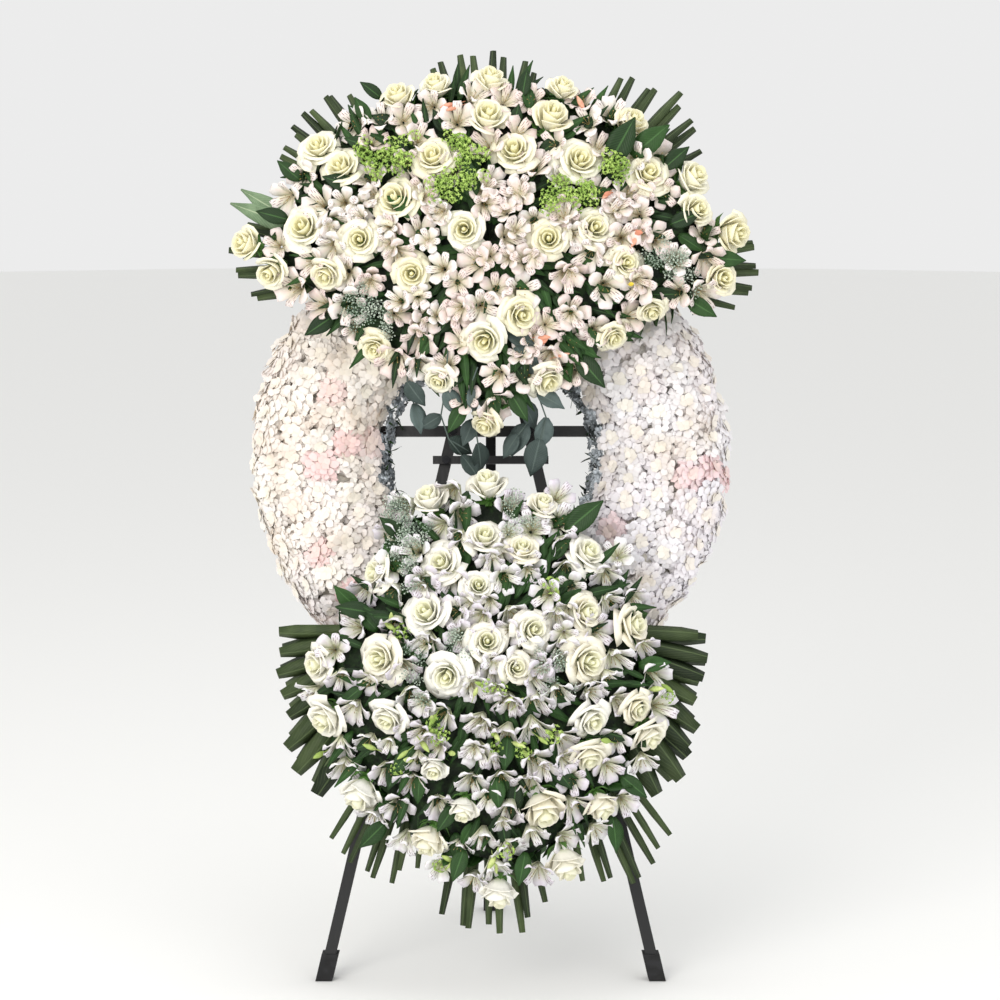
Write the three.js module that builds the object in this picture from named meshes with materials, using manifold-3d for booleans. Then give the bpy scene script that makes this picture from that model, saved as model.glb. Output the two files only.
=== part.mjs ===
// A standing funeral wreath: a ring of white flower heads on a black easel, with a rose spray on its
// top and a hanging rose spray below. Millimetres, +Z up, the front faces -Y.
// Inside the leaning group x runs to the right, y runs backward and z runs up the easel's front legs.
import * as THREE from "three";
import { mergeVertices } from "three/addons/utils/BufferGeometryUtils.js";
import Module from "manifold-3d";

const wasm = await Module();
wasm.setup();

// Driving dimensions
const gap = 0.3;
const lean = THREE.MathUtils.degToRad(12);

const ring = {
  centreZ: 933,
  midRadius: 302,
  coverHalfWidth: 110,
  coverBack: 4,
  coverRise: 88,
  headRaise: 8,
  headReach: 0.6,
  headSideReach: 0.7,
  headsAround: 30,
  headRows: 5,
  sectors: 10,
  baseHalfWidth: 75,
  baseDepth: 40,
};

const easel = {
  apexZ: 1267,
  legSlope: 0.2335,
  legWide: 20,
  legThick: 20,
  legTopZ: 1216,
  legLowZ: -90,
  legGroundGap: 8,
  crossbarThick: 14,
  wideCrossbar: { z: 977, half: 310, high: 19 },
  narrowCrossbar: { z: 926, half: 103, high: 14 },
  rearLeg: { wide: 18, topZ: 1146, footBack: 548, footZ: -116, pastEnds: 60 },
  plate: { lowZ: 1105, highZ: 1262, lowHalf: 54, highHalf: 28 },
  legScrewZ: 1168,
  rearScrewZ: 1146,
  screwFront: 1,
  rearScrewReach: 25,
  ringPinX: 293,
  ringPinReach: 30,
  topPinZ: 1240,
  boltRadius: 4,
  headRadius: 8,
  headHigh: 3,
  holeClearance: 0.7,
  holePastFace: 5,
};
const frontOfCrossbars = gap;
const frontOfLegs = gap + easel.crossbarThick + gap;
const backOfLegs = frontOfLegs + easel.legThick;

const footCap = { wide: 29, high: 46, play: 0.3 };

// The foam blocks sit on the crest of the ring's cover
const crestAngle = (0.5 * Math.PI * ring.headReach) / ring.headRows;
const coverCrest = ring.coverBack + (ring.coverRise + ring.headRaise) * Math.cos(crestAngle);
const foam = { halfWidth: 130, halfHigh: 65, front: 170, back: coverCrest + gap };

const palm = { depth: 112, pleat: 4, thickness: 1.2, splitShare: 0.42 };

const flower = {
  floor: 123.3,
  rim: 18,
  coreSink: 26,
  coreRelief: 7,
  coreShare: 0.9,
  roseScale: 1.2,
  alstroRadius: 35,
  alstroApart: 58,
  roseShare: 0.36,
  roseClear: 22,
  scatterShare: 0.92,
  borderShare: 0.6,
  field: [-450, 450, 120, 1610],
  leafRoot: 36,
  leafWide: 42,
  leafThick: 1.6,
  leafLift: 0.12,
  outwardStep: 12,
  outwardLean: 0.8,
};

// Each spray: the outline of its flowers, the bunches that it is tied in, and its roses as
// [x, z, diameter]. A leaf is [x, z, the way it points in degrees, length].
const topSpray = {
  name: "top",
  centre: [0, 1290],
  foamZ: 1235,
  rise: 118,
  outline: [
    [0, 945], [-120, 1015], [-235, 1070], [-350, 1170], [-455, 1240], [-458, 1320],
    [-370, 1470], [-270, 1555], [-120, 1605], [10, 1610], [150, 1600], [285, 1535],
    [390, 1430], [460, 1330], [440, 1190], [300, 1130], [225, 1085], [120, 1010],
  ],
  bunches: {
    far_left: [-350, 1265],
    upper_left: [-245, 1425],
    high_left: [-75, 1510],
    high_right: [100, 1500],
    upper_right: [265, 1410],
    far_right: [350, 1250],
    middle: [0, 1275],
    low: [0, 1070],
  },
  roses: [
    [-160, 1545, 56], [-95, 1565, 52], [0, 1575, 60], [-5, 1505, 70], [-300, 1460, 60],
    [-260, 1420, 62], [-100, 1435, 62], [-165, 1360, 66], [-425, 1290, 56], [-325, 1315, 70],
    [-225, 1290, 60], [-45, 1305, 62], [-380, 1240, 56], [-285, 1230, 52], [-135, 1230, 56],
    [125, 1560, 52], [105, 1505, 70], [40, 1445, 62], [155, 1430, 66], [245, 1500, 60],
    [275, 1410, 60], [350, 1405, 66], [355, 1345, 60], [420, 1310, 70], [100, 1290, 60],
    [180, 1310, 62], [235, 1250, 52], [400, 1230, 56], [55, 1160, 62], [280, 1170, 46],
    [215, 1125, 50], [-10, 1115, 66], [-90, 1050, 50], [100, 1050, 62], [-200, 1105, 50],
    [-10, 975, 50],
  ],
  alstroemerias: 16,
  leaves: [
    [-280, 1165, 215, 90], [-375, 1330, 165, 95], [-345, 1400, 140, 90], [-215, 1490, 120, 95],
    [55, 1555, 80, 65], [215, 1470, 55, 100], [300, 1435, 40, 90], [400, 1265, -5, 75],
    [340, 1195, -35, 85], [150, 1095, -50, 80], [-45, 1010, 240, 60], [35, 1030, -60, 65],
    [-30, 1360, 100, 70],
  ],
};

const lowerSpray = {
  name: "lower",
  centre: [-5, 560],
  foamZ: 631,
  rise: 138,
  outline: [
    [0, 915], [-140, 880], [-205, 800], [-240, 720], [-265, 640], [-335, 590], [-345, 500],
    [-325, 430], [-275, 330], [-165, 235], [-60, 150], [15, 130], [100, 150], [200, 215],
    [255, 320], [315, 420], [320, 520], [300, 640], [215, 800], [130, 880],
  ],
  bunches: {
    high: [0, 830],
    upper_left: [-160, 690],
    upper_right: [165, 690],
    far_left: [-245, 500],
    middle: [0, 600],
    far_right: [230, 500],
    low_left: [-110, 330],
    low_right: [110, 330],
  },
  roses: [
    [-105, 845, 62], [-5, 870, 66], [90, 835, 52], [-10, 780, 62], [-85, 735, 62],
    [55, 760, 52], [170, 755, 62], [-20, 695, 52], [-200, 720, 60], [-110, 650, 70],
    [-190, 570, 70], [-300, 560, 60], [-75, 540, 66], [-5, 600, 60], [75, 620, 60],
    [165, 650, 56], [250, 630, 62], [45, 555, 50], [170, 565, 70], [-285, 465, 70],
    [-175, 465, 60], [-95, 385, 50], [-225, 340, 70], [-45, 315, 54], [-105, 260, 62],
    [175, 465, 56], [255, 485, 50], [275, 435, 62], [170, 400, 62], [90, 315, 76],
    [190, 320, 58], [130, 220, 66], [15, 170, 66],
  ],
  alstroemerias: 16,
  leaves: [
    [150, 800, 40, 75], [-150, 780, 140, 85], [-205, 650, 170, 85], [265, 560, 5, 60],
    [-130, 420, 230, 70], [30, 440, 265, 80], [225, 370, -40, 75], [-180, 290, 225, 70],
    [60, 200, 260, 65], [-45, 225, 235, 75],
  ],
};

// Palm leaves: [name, hub x, hub z from the foam's middle, direction in degrees, spread, length]
const topPalms = [
  ["left", -130, 20, 176, 34, 325],
  ["upper_left", -95, 65, 136, 30, 330],
  ["top", 0, 65, 90, 44, 345],
  ["upper_right", 95, 65, 50, 34, 350],
  ["right", 130, 20, 1, 30, 350],
];
const lowerPalms = [
  ["left", -130, -10, 208, 52, 265],
  ["low_left", -85, -65, 247, 22, 420],
  ["low", 0, -65, 271, 20, 490],
  ["low_right", 85, -65, 294, 22, 430],
  ["right", 130, -10, -27, 52, 270],
];
const palmBlades = 8;

// Materials
function finish(color, roughness) {
  return new THREE.MeshStandardMaterial({ color, roughness, metalness: 0, flatShading: true });
}
const blackWood = finish(0x0c0c0e, 0.45);
const blackSteel = finish(0x1a1a1c, 0.35);
const blackRubber = finish(0x141414, 0.8);
const greenFoam = finish(0x3d5a3a, 0.9);
const ringWhite = finish(0xe8e2dc, 0.7);
const roseCream = finish(0xedebc9, 0.65);
const roseWhite = finish(0xeeefe4, 0.65);
const palmGreen = finish(0x3c5230, 0.55);

// Solids
function solid(geometry) {
  const bare = geometry.clone();
  bare.deleteAttribute("normal");
  bare.deleteAttribute("uv");
  const merged = mergeVertices(bare, 1e-3);
  const vertProperties = new Float32Array(merged.attributes.position.array);
  const triVerts = new Uint32Array(merged.index.array);
  return new wasm.Manifold(new wasm.Mesh({ numProp: 3, vertProperties, triVerts }));
}

function shell(points, faces) {
  const geometry = new THREE.BufferGeometry();
  geometry.setAttribute("position", new THREE.Float32BufferAttribute(points.flat(), 3));
  geometry.setIndex(faces.flat());
  return geometry;
}

function largestBody(manifold) {
  const bodies = manifold.decompose();
  return bodies.reduce((best, body) => (body.volume() > best.volume() ? body : best));
}

function geometryOf(manifold) {
  const mesh = manifold.getMesh();
  const geometry = new THREE.BufferGeometry();
  geometry.setAttribute("position", new THREE.BufferAttribute(mesh.vertProperties, 3));
  geometry.setIndex(new THREE.BufferAttribute(mesh.triVerts, 1));
  return geometry;
}

const leaning = new THREE.Group();

function place(name, manifold, material) {
  const mesh = new THREE.Mesh(geometryOf(manifold), material);
  mesh.name = name;
  leaning.add(mesh);
}

function seededRandom(seed) {
  let state = seed;
  return () => {
    state = (state + 0x6d2b79f5) | 0;
    let mixed = Math.imul(state ^ (state >>> 15), 1 | state);
    mixed = (mixed + Math.imul(mixed ^ (mixed >>> 7), 61 | mixed)) ^ mixed;
    return ((mixed ^ (mixed >>> 14)) >>> 0) / 4294967296;
  };
}

// Everything on the easel runs through or along these two helpers
function bar(start, end, wide, thick) {
  const from = new THREE.Vector3(...start);
  const along = new THREE.Vector3(...end).sub(from);
  const length = along.length();
  along.normalize();
  const side = new THREE.Vector3(0, 1, 0).cross(along).normalize();
  const back = along.clone().cross(side);
  const geometry = new THREE.BoxGeometry(wide, thick, length);
  geometry.translate(0, 0, length / 2);
  geometry.applyMatrix4(new THREE.Matrix4().makeBasis(side, back, along).setPosition(from));
  return solid(geometry);
}

function turned(x, z, profile, sides = 6) {
  const points = profile.map(([radius, y]) => new THREE.Vector2(radius, y));
  const geometry = new THREE.LatheGeometry(points, sides);
  geometry.translate(x, 0, z);
  return solid(geometry);
}

function hole(x, z, radius, front, back) {
  return turned(x, z, [[0, front], [radius, front], [radius, back], [0, back]]);
}

function aboveFloor(manifold, height) {
  return manifold.trimByPlane([0, -Math.sin(lean), Math.cos(lean)], height);
}

const legX = (z) => (easel.apexZ - z) * easel.legSlope;
const passRadius = easel.boltRadius + easel.holeClearance;
const holeFront = -easel.holePastFace;
const holeBack = backOfLegs + easel.holePastFace;
const rearScrewBack = frontOfLegs + easel.rearScrewReach;

function frontLegLine(side) {
  const middle = frontOfLegs + easel.legThick / 2;
  return [
    [side * legX(easel.legLowZ), middle, easel.legLowZ],
    [side * legX(easel.legTopZ), middle, easel.legTopZ],
  ];
}

function rearLegLine() {
  const { topZ, footBack, footZ, pastEnds } = easel.rearLeg;
  const drop = topZ - footZ;
  const stretch = pastEnds / drop;
  const top = [0, frontOfLegs - footBack * stretch, topZ + drop * stretch];
  const foot = [0, frontOfLegs + footBack * (1 + stretch), footZ - drop * stretch];
  return [foot, top];
}

function legWithCap(line, wide, thick, name) {
  const leg = aboveFloor(bar(...line, wide, thick), easel.legGroundGap);
  const play = 2 * footCap.play;
  const pocket = aboveFloor(bar(...line, wide + play, thick + play), easel.legGroundGap - gap);
  const wall = bar(...line, footCap.wide, footCap.wide);
  const high = aboveFloor(wall, footCap.high);
  place(`${name}_foot_cap`, aboveFloor(wall, 0).subtract(high).subtract(pocket), blackRubber);
  return leg;
}

const crossings = [easel.wideCrossbar, easel.narrowCrossbar];

function makeFrontLeg(side, name) {
  let leg = legWithCap(frontLegLine(side), easel.legWide, easel.legThick, name);
  leg = leg.trimByPlane([side, 0, 0], gap / 2);
  for (const { z } of crossings) {
    leg = leg.subtract(hole(side * legX(z), z, passRadius, 0, holeBack));
  }
  const screwX = side * legX(easel.legScrewZ);
  leg = leg.subtract(hole(screwX, easel.legScrewZ, passRadius, 0, holeBack));
  place(name, leg, blackWood);
}

function makeRearLeg() {
  const { wide } = easel.rearLeg;
  let leg = legWithCap(rearLegLine(), wide, easel.legThick, "rear_leg");
  leg = leg.trimByPlane([0, 1, 0], frontOfLegs);
  leg = leg.subtract(hole(0, easel.rearScrewZ, passRadius, 0, rearScrewBack + 1));
  place("rear_leg", leg, blackWood);
}

function makeCrossbar(name, { z, half, high }, pinX) {
  const middle = frontOfCrossbars + easel.crossbarThick / 2;
  let beam = bar([-half, middle, z], [half, middle, z], high, easel.crossbarThick);
  for (const side of [-1, 1]) {
    beam = beam.subtract(hole(side * legX(z), z, passRadius, holeFront, frontOfLegs));
    if (pinX) beam = beam.subtract(hole(side * pinX, z, passRadius, holeFront, frontOfLegs));
  }
  place(name, beam, blackWood);
}

function makeHeadPlate() {
  const { lowZ, highZ, lowHalf, highHalf } = easel.plate;
  const outline = new THREE.Shape();
  outline.moveTo(-lowHalf, lowZ);
  outline.lineTo(lowHalf, lowZ);
  outline.lineTo(highHalf, highZ);
  outline.lineTo(-highHalf, highZ);
  const depth = easel.crossbarThick;
  const geometry = new THREE.ExtrudeGeometry(outline, { depth, bevelEnabled: false });
  geometry.rotateX(Math.PI / 2);
  geometry.translate(0, frontOfCrossbars + depth, 0);
  let plate = solid(geometry);
  const drilled = [
    [0, easel.topPinZ],
    [0, easel.rearScrewZ],
    [legX(easel.legScrewZ), easel.legScrewZ],
    [-legX(easel.legScrewZ), easel.legScrewZ],
  ];
  for (const [x, z] of drilled) plate = plate.subtract(hole(x, z, passRadius, holeFront, frontOfLegs));
  place("head_plate", plate, blackWood);
}

function makeFastener(name, x, z, front, back, headAtFront, headAtBack) {
  const profile = [[0, front]];
  if (headAtFront) profile.push([easel.headRadius, front], [easel.headRadius, front + easel.headHigh]);
  const shaftFront = headAtFront ? front + easel.headHigh : front;
  const shaftBack = headAtBack ? back - easel.headHigh : back;
  profile.push([easel.boltRadius, shaftFront], [easel.boltRadius, shaftBack]);
  if (headAtBack) profile.push([easel.headRadius, shaftBack], [easel.headRadius, back]);
  profile.push([0, back]);
  place(name, turned(x, z, profile), blackSteel);
}

function makeEasel() {
  makeFrontLeg(-1, "left_leg");
  makeFrontLeg(1, "right_leg");
  makeRearLeg();
  makeCrossbar("wide_crossbar", easel.wideCrossbar, easel.ringPinX);
  makeCrossbar("narrow_crossbar", easel.narrowCrossbar);
  makeHeadPlate();
  const boltFront = -easel.headHigh;
  const boltBack = backOfLegs + gap + easel.headHigh;
  const pinBack = frontOfLegs + easel.headHigh;
  const pinFront = -easel.ringPinReach;
  const wideZ = easel.wideCrossbar.z;
  const narrowZ = easel.narrowCrossbar.z;
  const wideX = legX(wideZ);
  const narrowX = legX(narrowZ);
  for (const [side, name] of [[-1, "left"], [1, "right"]]) {
    const screwX = side * legX(easel.legScrewZ);
    const pinX = side * easel.ringPinX;
    makeFastener(`wide_bolt_${name}`, side * wideX, wideZ, boltFront, boltBack, true, true);
    makeFastener(`narrow_bolt_${name}`, side * narrowX, narrowZ, boltFront, boltBack, true, true);
    makeFastener(`plate_screw_${name}`, screwX, easel.legScrewZ, easel.screwFront, boltBack, false, true);
    makeFastener(`ring_pin_${name}`, pinX, wideZ, pinFront, pinBack, false, true);
  }
  makeFastener("rear_screw", 0, easel.rearScrewZ, easel.screwFront, rearScrewBack, false, false);
  makeFastener("ring_pin_top", 0, easel.topPinZ, pinFront, pinBack, false, true);
}

// The ring: a foam base and a cover of flower heads that are raised from its surface
function ringPoint(turn, arch, raise) {
  const angle = 2 * Math.PI * turn;
  const across = Math.PI * arch;
  const radius = ring.midRadius - (ring.coverHalfWidth + raise) * Math.cos(across);
  const depth = ring.coverBack + (ring.coverRise + raise) * Math.sin(across);
  return [radius * Math.cos(angle), -depth, ring.centreZ + radius * Math.sin(angle)];
}

function ringCover() {
  const { headsAround, headRows, headRaise, headReach, headSideReach } = ring;
  const points = [];
  const faces = [];
  const add = (turn, arch, raise) => points.push(ringPoint(turn, arch, raise)) - 1;
  const around = 2 * headsAround;
  const lines = [];
  for (let row = 0; row <= headRows; row++) {
    const line = [];
    for (let k = 0; k < around; k++) line.push(add(k / around, row / headRows, 0));
    lines.push(line);
  }
  for (let row = 0; row < headRows; row++) {
    for (let head = 0; head < headsAround; head++) {
      const first = 2 * head + (row % 2);
      const low = [0, 1, 2].map((step) => lines[row][(first + step) % around]);
      const high = [2, 1, 0].map((step) => lines[row + 1][(first + step) % around]);
      const edge = [...low, ...high];
      const edgeTurn = [-1, 0, 1, 1, 0, -1];
      const edgeArch = [-1, -1, -1, 1, 1, 1];
      const middleTurn = (first + 1) / around;
      const middleArch = (row + 0.5) / headRows;
      const inner = edge.map((_, i) => {
        const reach = edgeTurn[i] ? headReach : headSideReach;
        const turn = middleTurn + (reach * edgeTurn[i]) / around;
        const arch = middleArch + (0.5 * reach * edgeArch[i]) / headRows;
        return add(turn, arch, headRaise);
      });
      edge.forEach((corner, i) => {
        const next = (i + 1) % edge.length;
        faces.push([corner, inner[next], edge[next]], [corner, inner[i], inner[next]]);
      });
      faces.push([inner[0], inner[2], inner[1]], [inner[0], inner[3], inner[2]]);
      faces.push([inner[0], inner[5], inner[3]], [inner[5], inner[4], inner[3]]);
    }
  }
  const holeSide = lines[0];
  const outside = lines[headRows];
  for (let k = 0; k < around; k++) {
    const next = (k + 1) % around;
    faces.push([holeSide[k], outside[next], outside[k]], [holeSide[k], holeSide[next], outside[next]]);
  }
  return solid(shell(points, faces));
}

function ringBase(grow) {
  const inner = ring.midRadius - ring.baseHalfWidth - grow;
  const outer = ring.midRadius + ring.baseHalfWidth + grow;
  const front = -ring.baseDepth - grow;
  const profile = [[inner, 0], [inner, front], [outer, front], [outer, 0], [inner, 0]];
  return turned(0, ring.centreZ, profile, ring.headsAround);
}

function makeRing() {
  let base = ringBase(0);
  const pinHoleFront = -easel.ringPinReach - 1;
  const pinHoles = [
    [easel.ringPinX, easel.wideCrossbar.z],
    [-easel.ringPinX, easel.wideCrossbar.z],
    [0, easel.topPinZ],
  ];
  for (const [x, z] of pinHoles) base = base.subtract(hole(x, z, passRadius, pinHoleFront, easel.holePastFace));
  place("ring_base", base, greenFoam);

  const cover = ringCover().subtract(ringBase(gap));
  const step = (2 * Math.PI) / ring.sectors;
  for (let sector = 0; sector < ring.sectors; sector++) {
    const start = sector * step;
    const end = start + step;
    const fromStart = [-Math.sin(start), 0, Math.cos(start)];
    const toEnd = [Math.sin(end), 0, -Math.cos(end)];
    const piece = cover
      .translate([0, 0, -ring.centreZ])
      .trimByPlane(fromStart, gap / 2)
      .trimByPlane(toEnd, gap / 2)
      .translate([0, 0, ring.centreZ]);
    const number = String(sector + 1).padStart(2, "0");
    place(`ring_flowers_${number}`, largestBody(piece), ringWhite);
  }
}

// Palm leaves: pleated near the hub and cut into pointed strips further out
function palmLeaf(hubX, hubZ, direction, spread, length, random) {
  const step = THREE.MathUtils.degToRad(spread) / palmBlades;
  const middle = THREE.MathUtils.degToRad(direction);
  const points = [];
  const faces = [];
  const add = (angle, radius, depth) => {
    const x = hubX + radius * Math.cos(angle);
    const z = hubZ + radius * Math.sin(angle);
    points.push([x, -depth - palm.thickness / 2, z], [x, -depth + palm.thickness / 2, z]);
    return points.length - 2;
  };
  const both = (a, b, c) => faces.push([a, b, c], [a + 1, c + 1, b + 1]);
  const wall = (a, b) => faces.push([a, a + 1, b + 1], [a, b + 1, b]);
  const split = palm.splitShare * length;
  const hub = add(0, 0, palm.depth);
  const valleys = [];
  for (let i = 0; i <= palmBlades; i++) {
    valleys.push(add(middle + (i - palmBlades / 2) * step, split, palm.depth - palm.pleat));
  }
  for (let i = 0; i < palmBlades; i++) {
    const angle = middle + (i + 0.5 - palmBlades / 2) * step;
    const fromMiddle = Math.abs(i + 0.5 - palmBlades / 2) / (palmBlades / 2);
    const reach = length * (1 - 0.12 * fromMiddle - 0.07 * random());
    const ridge = add(angle, split, palm.depth + palm.pleat);
    const tip = add(angle, reach, palm.depth);
    both(hub, valleys[i], ridge);
    both(hub, ridge, valleys[i + 1]);
    both(valleys[i], tip, ridge);
    both(ridge, tip, valleys[i + 1]);
    wall(valleys[i], tip);
    wall(tip, valleys[i + 1]);
  }
  wall(hub, valleys[0]);
  wall(valleys[palmBlades], hub);
  return shell(points, faces);
}

// Flowers, each in a unit size that opens along +Z
function starRing(points, count, radii, heights, turn = 0) {
  const first = points.length;
  for (let i = 0; i < count; i++) {
    const angle = (2 * Math.PI * (i + turn)) / count;
    const radius = radii[i % radii.length];
    points.push([radius * Math.cos(angle), radius * Math.sin(angle), heights[i % heights.length]]);
  }
  return first;
}

function skirt(faces, lower, upper, count) {
  for (let i = 0; i < count; i++) {
    const next = (i + 1) % count;
    faces.push([lower + i, lower + next, upper + next], [lower + i, upper + next, upper + i]);
  }
}

function capRing(faces, rim, apex, count, upward) {
  for (let i = 0; i < count; i++) {
    const next = (i + 1) % count;
    faces.push(upward ? [rim + i, rim + next, apex] : [rim + next, rim + i, apex]);
  }
}

function roseGeometry() {
  const points = [[0, 0, -1.05]];
  const faces = [];
  const outerPetals = starRing(points, 10, [1, 0.74], [-0.12, -0.22]);
  const valley = starRing(points, 10, [0.6], [-0.2]);
  const innerPetals = starRing(points, 10, [0.42, 0.58], [0.16, 0.3]);
  const heart = points.push([0, 0, 0.08]) - 1;
  capRing(faces, outerPetals, 0, 10, false);
  skirt(faces, outerPetals, valley, 10);
  skirt(faces, valley, innerPetals, 10);
  capRing(faces, innerPetals, heart, 10, true);
  return shell(points, faces);
}

function alstroemeriaGeometry() {
  const points = [[0, 0, -1.1]];
  const faces = [];
  const tepals = starRing(points, 12, [1, 0.38], [0.1, -0.08]);
  const throat = points.push([0, 0, -0.3]) - 1;
  capRing(faces, tepals, 0, 12, false);
  capRing(faces, tepals, throat, 12, true);
  return shell(points, faces);
}

function leafGeometry(length, wide) {
  const half = wide / 2;
  const thick = flower.leafThick;
  const lift = flower.leafLift * length;
  const outline = [
    [0, 0, 0],
    [0.3 * length, -half, lift],
    [0.7 * length, -0.75 * half, lift],
    [length, 0, 0],
    [0.7 * length, 0.75 * half, lift],
    [0.3 * length, half, lift],
  ];
  const ribs = [
    [0.3 * length, 0, 0.4 * lift],
    [0.7 * length, 0, 0.4 * lift],
  ];
  const front = outline.map(([x, y, z]) => [x, y, z + thick / 2]);
  const back = outline.map(([x, y, z]) => [x, y, z - thick / 2]);
  const points = [...front, ...back];
  ribs.forEach(([x, y, z]) => points.push([x, y, z + thick / 2], [x, y, z - thick / 2]));
  const faces = [];
  const blade = [
    [0, 1, 12], [1, 2, 14], [1, 14, 12], [2, 3, 14],
    [3, 4, 14], [4, 5, 12], [4, 12, 14], [5, 0, 12],
  ];
  for (const face of blade) {
    faces.push(face);
    faces.push([...face].reverse().map((index) => (index > 11 ? index + 1 : index + 6)));
  }
  outline.forEach((_, i) => {
    const next = (i + 1) % outline.length;
    faces.push([i + 6, next + 6, next], [i + 6, next, i]);
  });
  return shell(points, faces);
}

// The domed surface of a spray, over the outline of its flowers
function sprayForm(spray) {
  const [centreX, centreZ] = spray.centre;
  const polar = spray.outline
    .map(([x, z]) => [Math.atan2(z - centreZ, x - centreX), Math.hypot(x - centreX, z - centreZ)])
    .sort((a, b) => a[0] - b[0]);
  const reach = (angle) => {
    const after = polar.findIndex(([other]) => other > angle);
    const b = after < 0 ? [polar[0][0] + 2 * Math.PI, polar[0][1]] : polar[after];
    const last = polar[polar.length - 1];
    const a = after > 0 ? polar[after - 1] : after < 0 ? last : [last[0] - 2 * Math.PI, last[1]];
    return a[1] + ((b[1] - a[1]) * (angle - a[0])) / (b[0] - a[0]);
  };
  const depth = (x, z) => {
    const distance = Math.hypot(x - centreX, z - centreZ);
    const share = Math.min(distance / reach(Math.atan2(z - centreZ, x - centreX)), 0.97);
    return flower.floor + flower.rim + spray.rise * (1 - share ** 2) ** 0.75;
  };
  const outward = (x, z) => {
    const step = flower.outwardStep;
    const slopeX = (depth(x + step, z) - depth(x - step, z)) / (2 * step);
    const slopeZ = (depth(x, z + step) - depth(x, z - step)) / (2 * step);
    const tilt = flower.outwardLean;
    return new THREE.Vector3(-tilt * slopeX, -1, -tilt * slopeZ).normalize();
  };
  return { centreX, centreZ, reach, depth, outward };
}

function sprayCore(form) {
  const count = 24;
  const shares = [0.3, 0.55, 0.8, 1];
  const points = [[form.centreX, -form.depth(form.centreX, form.centreZ) + flower.coreSink, form.centreZ]];
  const faces = [];
  const angles = Array.from({ length: count }, (_, i) => -Math.PI + 0.01 + (2 * Math.PI * i) / count);
  const addPoint = (angle, share, depthAt) => {
    const radius = form.reach(angle) * flower.coreShare * share;
    const x = form.centreX + radius * Math.cos(angle);
    const z = form.centreZ + radius * Math.sin(angle);
    points.push([x, -depthAt(x, z), z]);
  };
  const floor = flower.floor - 3;
  const rings = shares.map((share, ring) => {
    const first = points.length;
    angles.forEach((angle, i) => {
      const relief = (i + ring) % 2 ? flower.coreRelief : -flower.coreRelief;
      addPoint(angle, share, (x, z) => form.depth(x, z) - flower.coreSink + relief);
    });
    return first;
  });
  const rim = points.length;
  angles.forEach((angle) => addPoint(angle, 1, () => floor));
  const backMiddle = points.push([form.centreX, -floor, form.centreZ]) - 1;
  capRing(faces, rings[0], 0, count, true);
  for (let ring = 1; ring < rings.length; ring++) skirt(faces, rings[ring], rings[ring - 1], count);
  skirt(faces, rim, rings[rings.length - 1], count);
  capRing(faces, rim, backMiddle, count, false);
  return solid(shell(points, faces));
}

function placedAt(manifold, x, z, depth, facing, spin, size) {
  const reference = Math.abs(facing.z) > 0.9 ? new THREE.Vector3(1, 0, 0) : new THREE.Vector3(0, 0, 1);
  const side = reference.clone().cross(facing).normalize();
  const up = facing.clone().cross(side);
  const matrix = new THREE.Matrix4().makeBasis(side, up, facing);
  matrix.multiply(new THREE.Matrix4().makeRotationZ(spin));
  matrix.scale(new THREE.Vector3(size, size, size));
  matrix.setPosition(x, -depth, z);
  return manifold.transform(matrix.elements);
}

const rose = solid(roseGeometry());
const alstroemeria = solid(alstroemeriaGeometry());

function scatter(spray, form, random) {
  const found = [];
  const [lowX, highX, lowZ, highZ] = flower.field;
  for (let tries = 0; tries < 40000 && found.length < spray.alstroemerias; tries++) {
    const x = lowX + (highX - lowX) * random();
    const z = lowZ + (highZ - lowZ) * random();
    const distance = Math.hypot(x - form.centreX, z - form.centreZ);
    const limit = flower.scatterShare * form.reach(Math.atan2(z - form.centreZ, x - form.centreX));
    const onRose = ([rx, rz, across]) => {
      return Math.hypot(rx - x, rz - z) < flower.roseShare * across + flower.roseClear;
    };
    const onOther = ([ax, az]) => Math.hypot(ax - x, az - z) < flower.alstroApart;
    if (distance > limit || spray.roses.some(onRose) || found.some(onOther)) continue;
    found.push([x, z, 2 * flower.alstroRadius]);
  }
  return found;
}

function nearestBunch(seeds, x, z) {
  const away = seeds.map(([sx, sz]) => Math.hypot(sx - x, sz - z));
  return away.indexOf(Math.min(...away));
}

// A bloom near the border of its bunch moves in, so that little of it is cut there
function movedIn(seeds, own, x, z, radius) {
  const spot = [x, z];
  seeds.forEach(([sx, sz], other) => {
    if (other === own) return;
    const dx = sx - seeds[own][0];
    const dz = sz - seeds[own][1];
    const apart = Math.hypot(dx, dz);
    const middleX = (sx + seeds[own][0]) / 2;
    const middleZ = (sz + seeds[own][1]) / 2;
    const past = ((spot[0] - middleX) * dx + (spot[1] - middleZ) * dz) / apart;
    const shift = Math.max(0, past + flower.borderShare * radius);
    spot[0] -= (shift * dx) / apart;
    spot[1] -= (shift * dz) / apart;
  });
  return spot;
}

function trimmedToBunch(manifold, seeds, own) {
  let kept = manifold.trimByPlane([0, -1, 0], flower.floor);
  seeds.forEach(([sx, sz], other) => {
    if (other === own) return;
    const dx = seeds[own][0] - sx;
    const dz = seeds[own][1] - sz;
    const apart = Math.hypot(dx, dz);
    const middle = [(sx + seeds[own][0]) / 2, (sz + seeds[own][1]) / 2];
    const offset = (middle[0] * dx + middle[1] * dz) / apart + gap / 2;
    kept = kept.trimByPlane([dx / apart, 0, dz / apart], offset);
  });
  return kept;
}

function foamBlock(z, grow) {
  const high = foam.front - foam.back;
  const size = [foam.halfWidth, high / 2, foam.halfHigh].map((half) => 2 * (half + grow));
  const geometry = new THREE.BoxGeometry(...size);
  geometry.translate(0, -(foam.front + foam.back) / 2, z);
  return solid(geometry);
}

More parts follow.
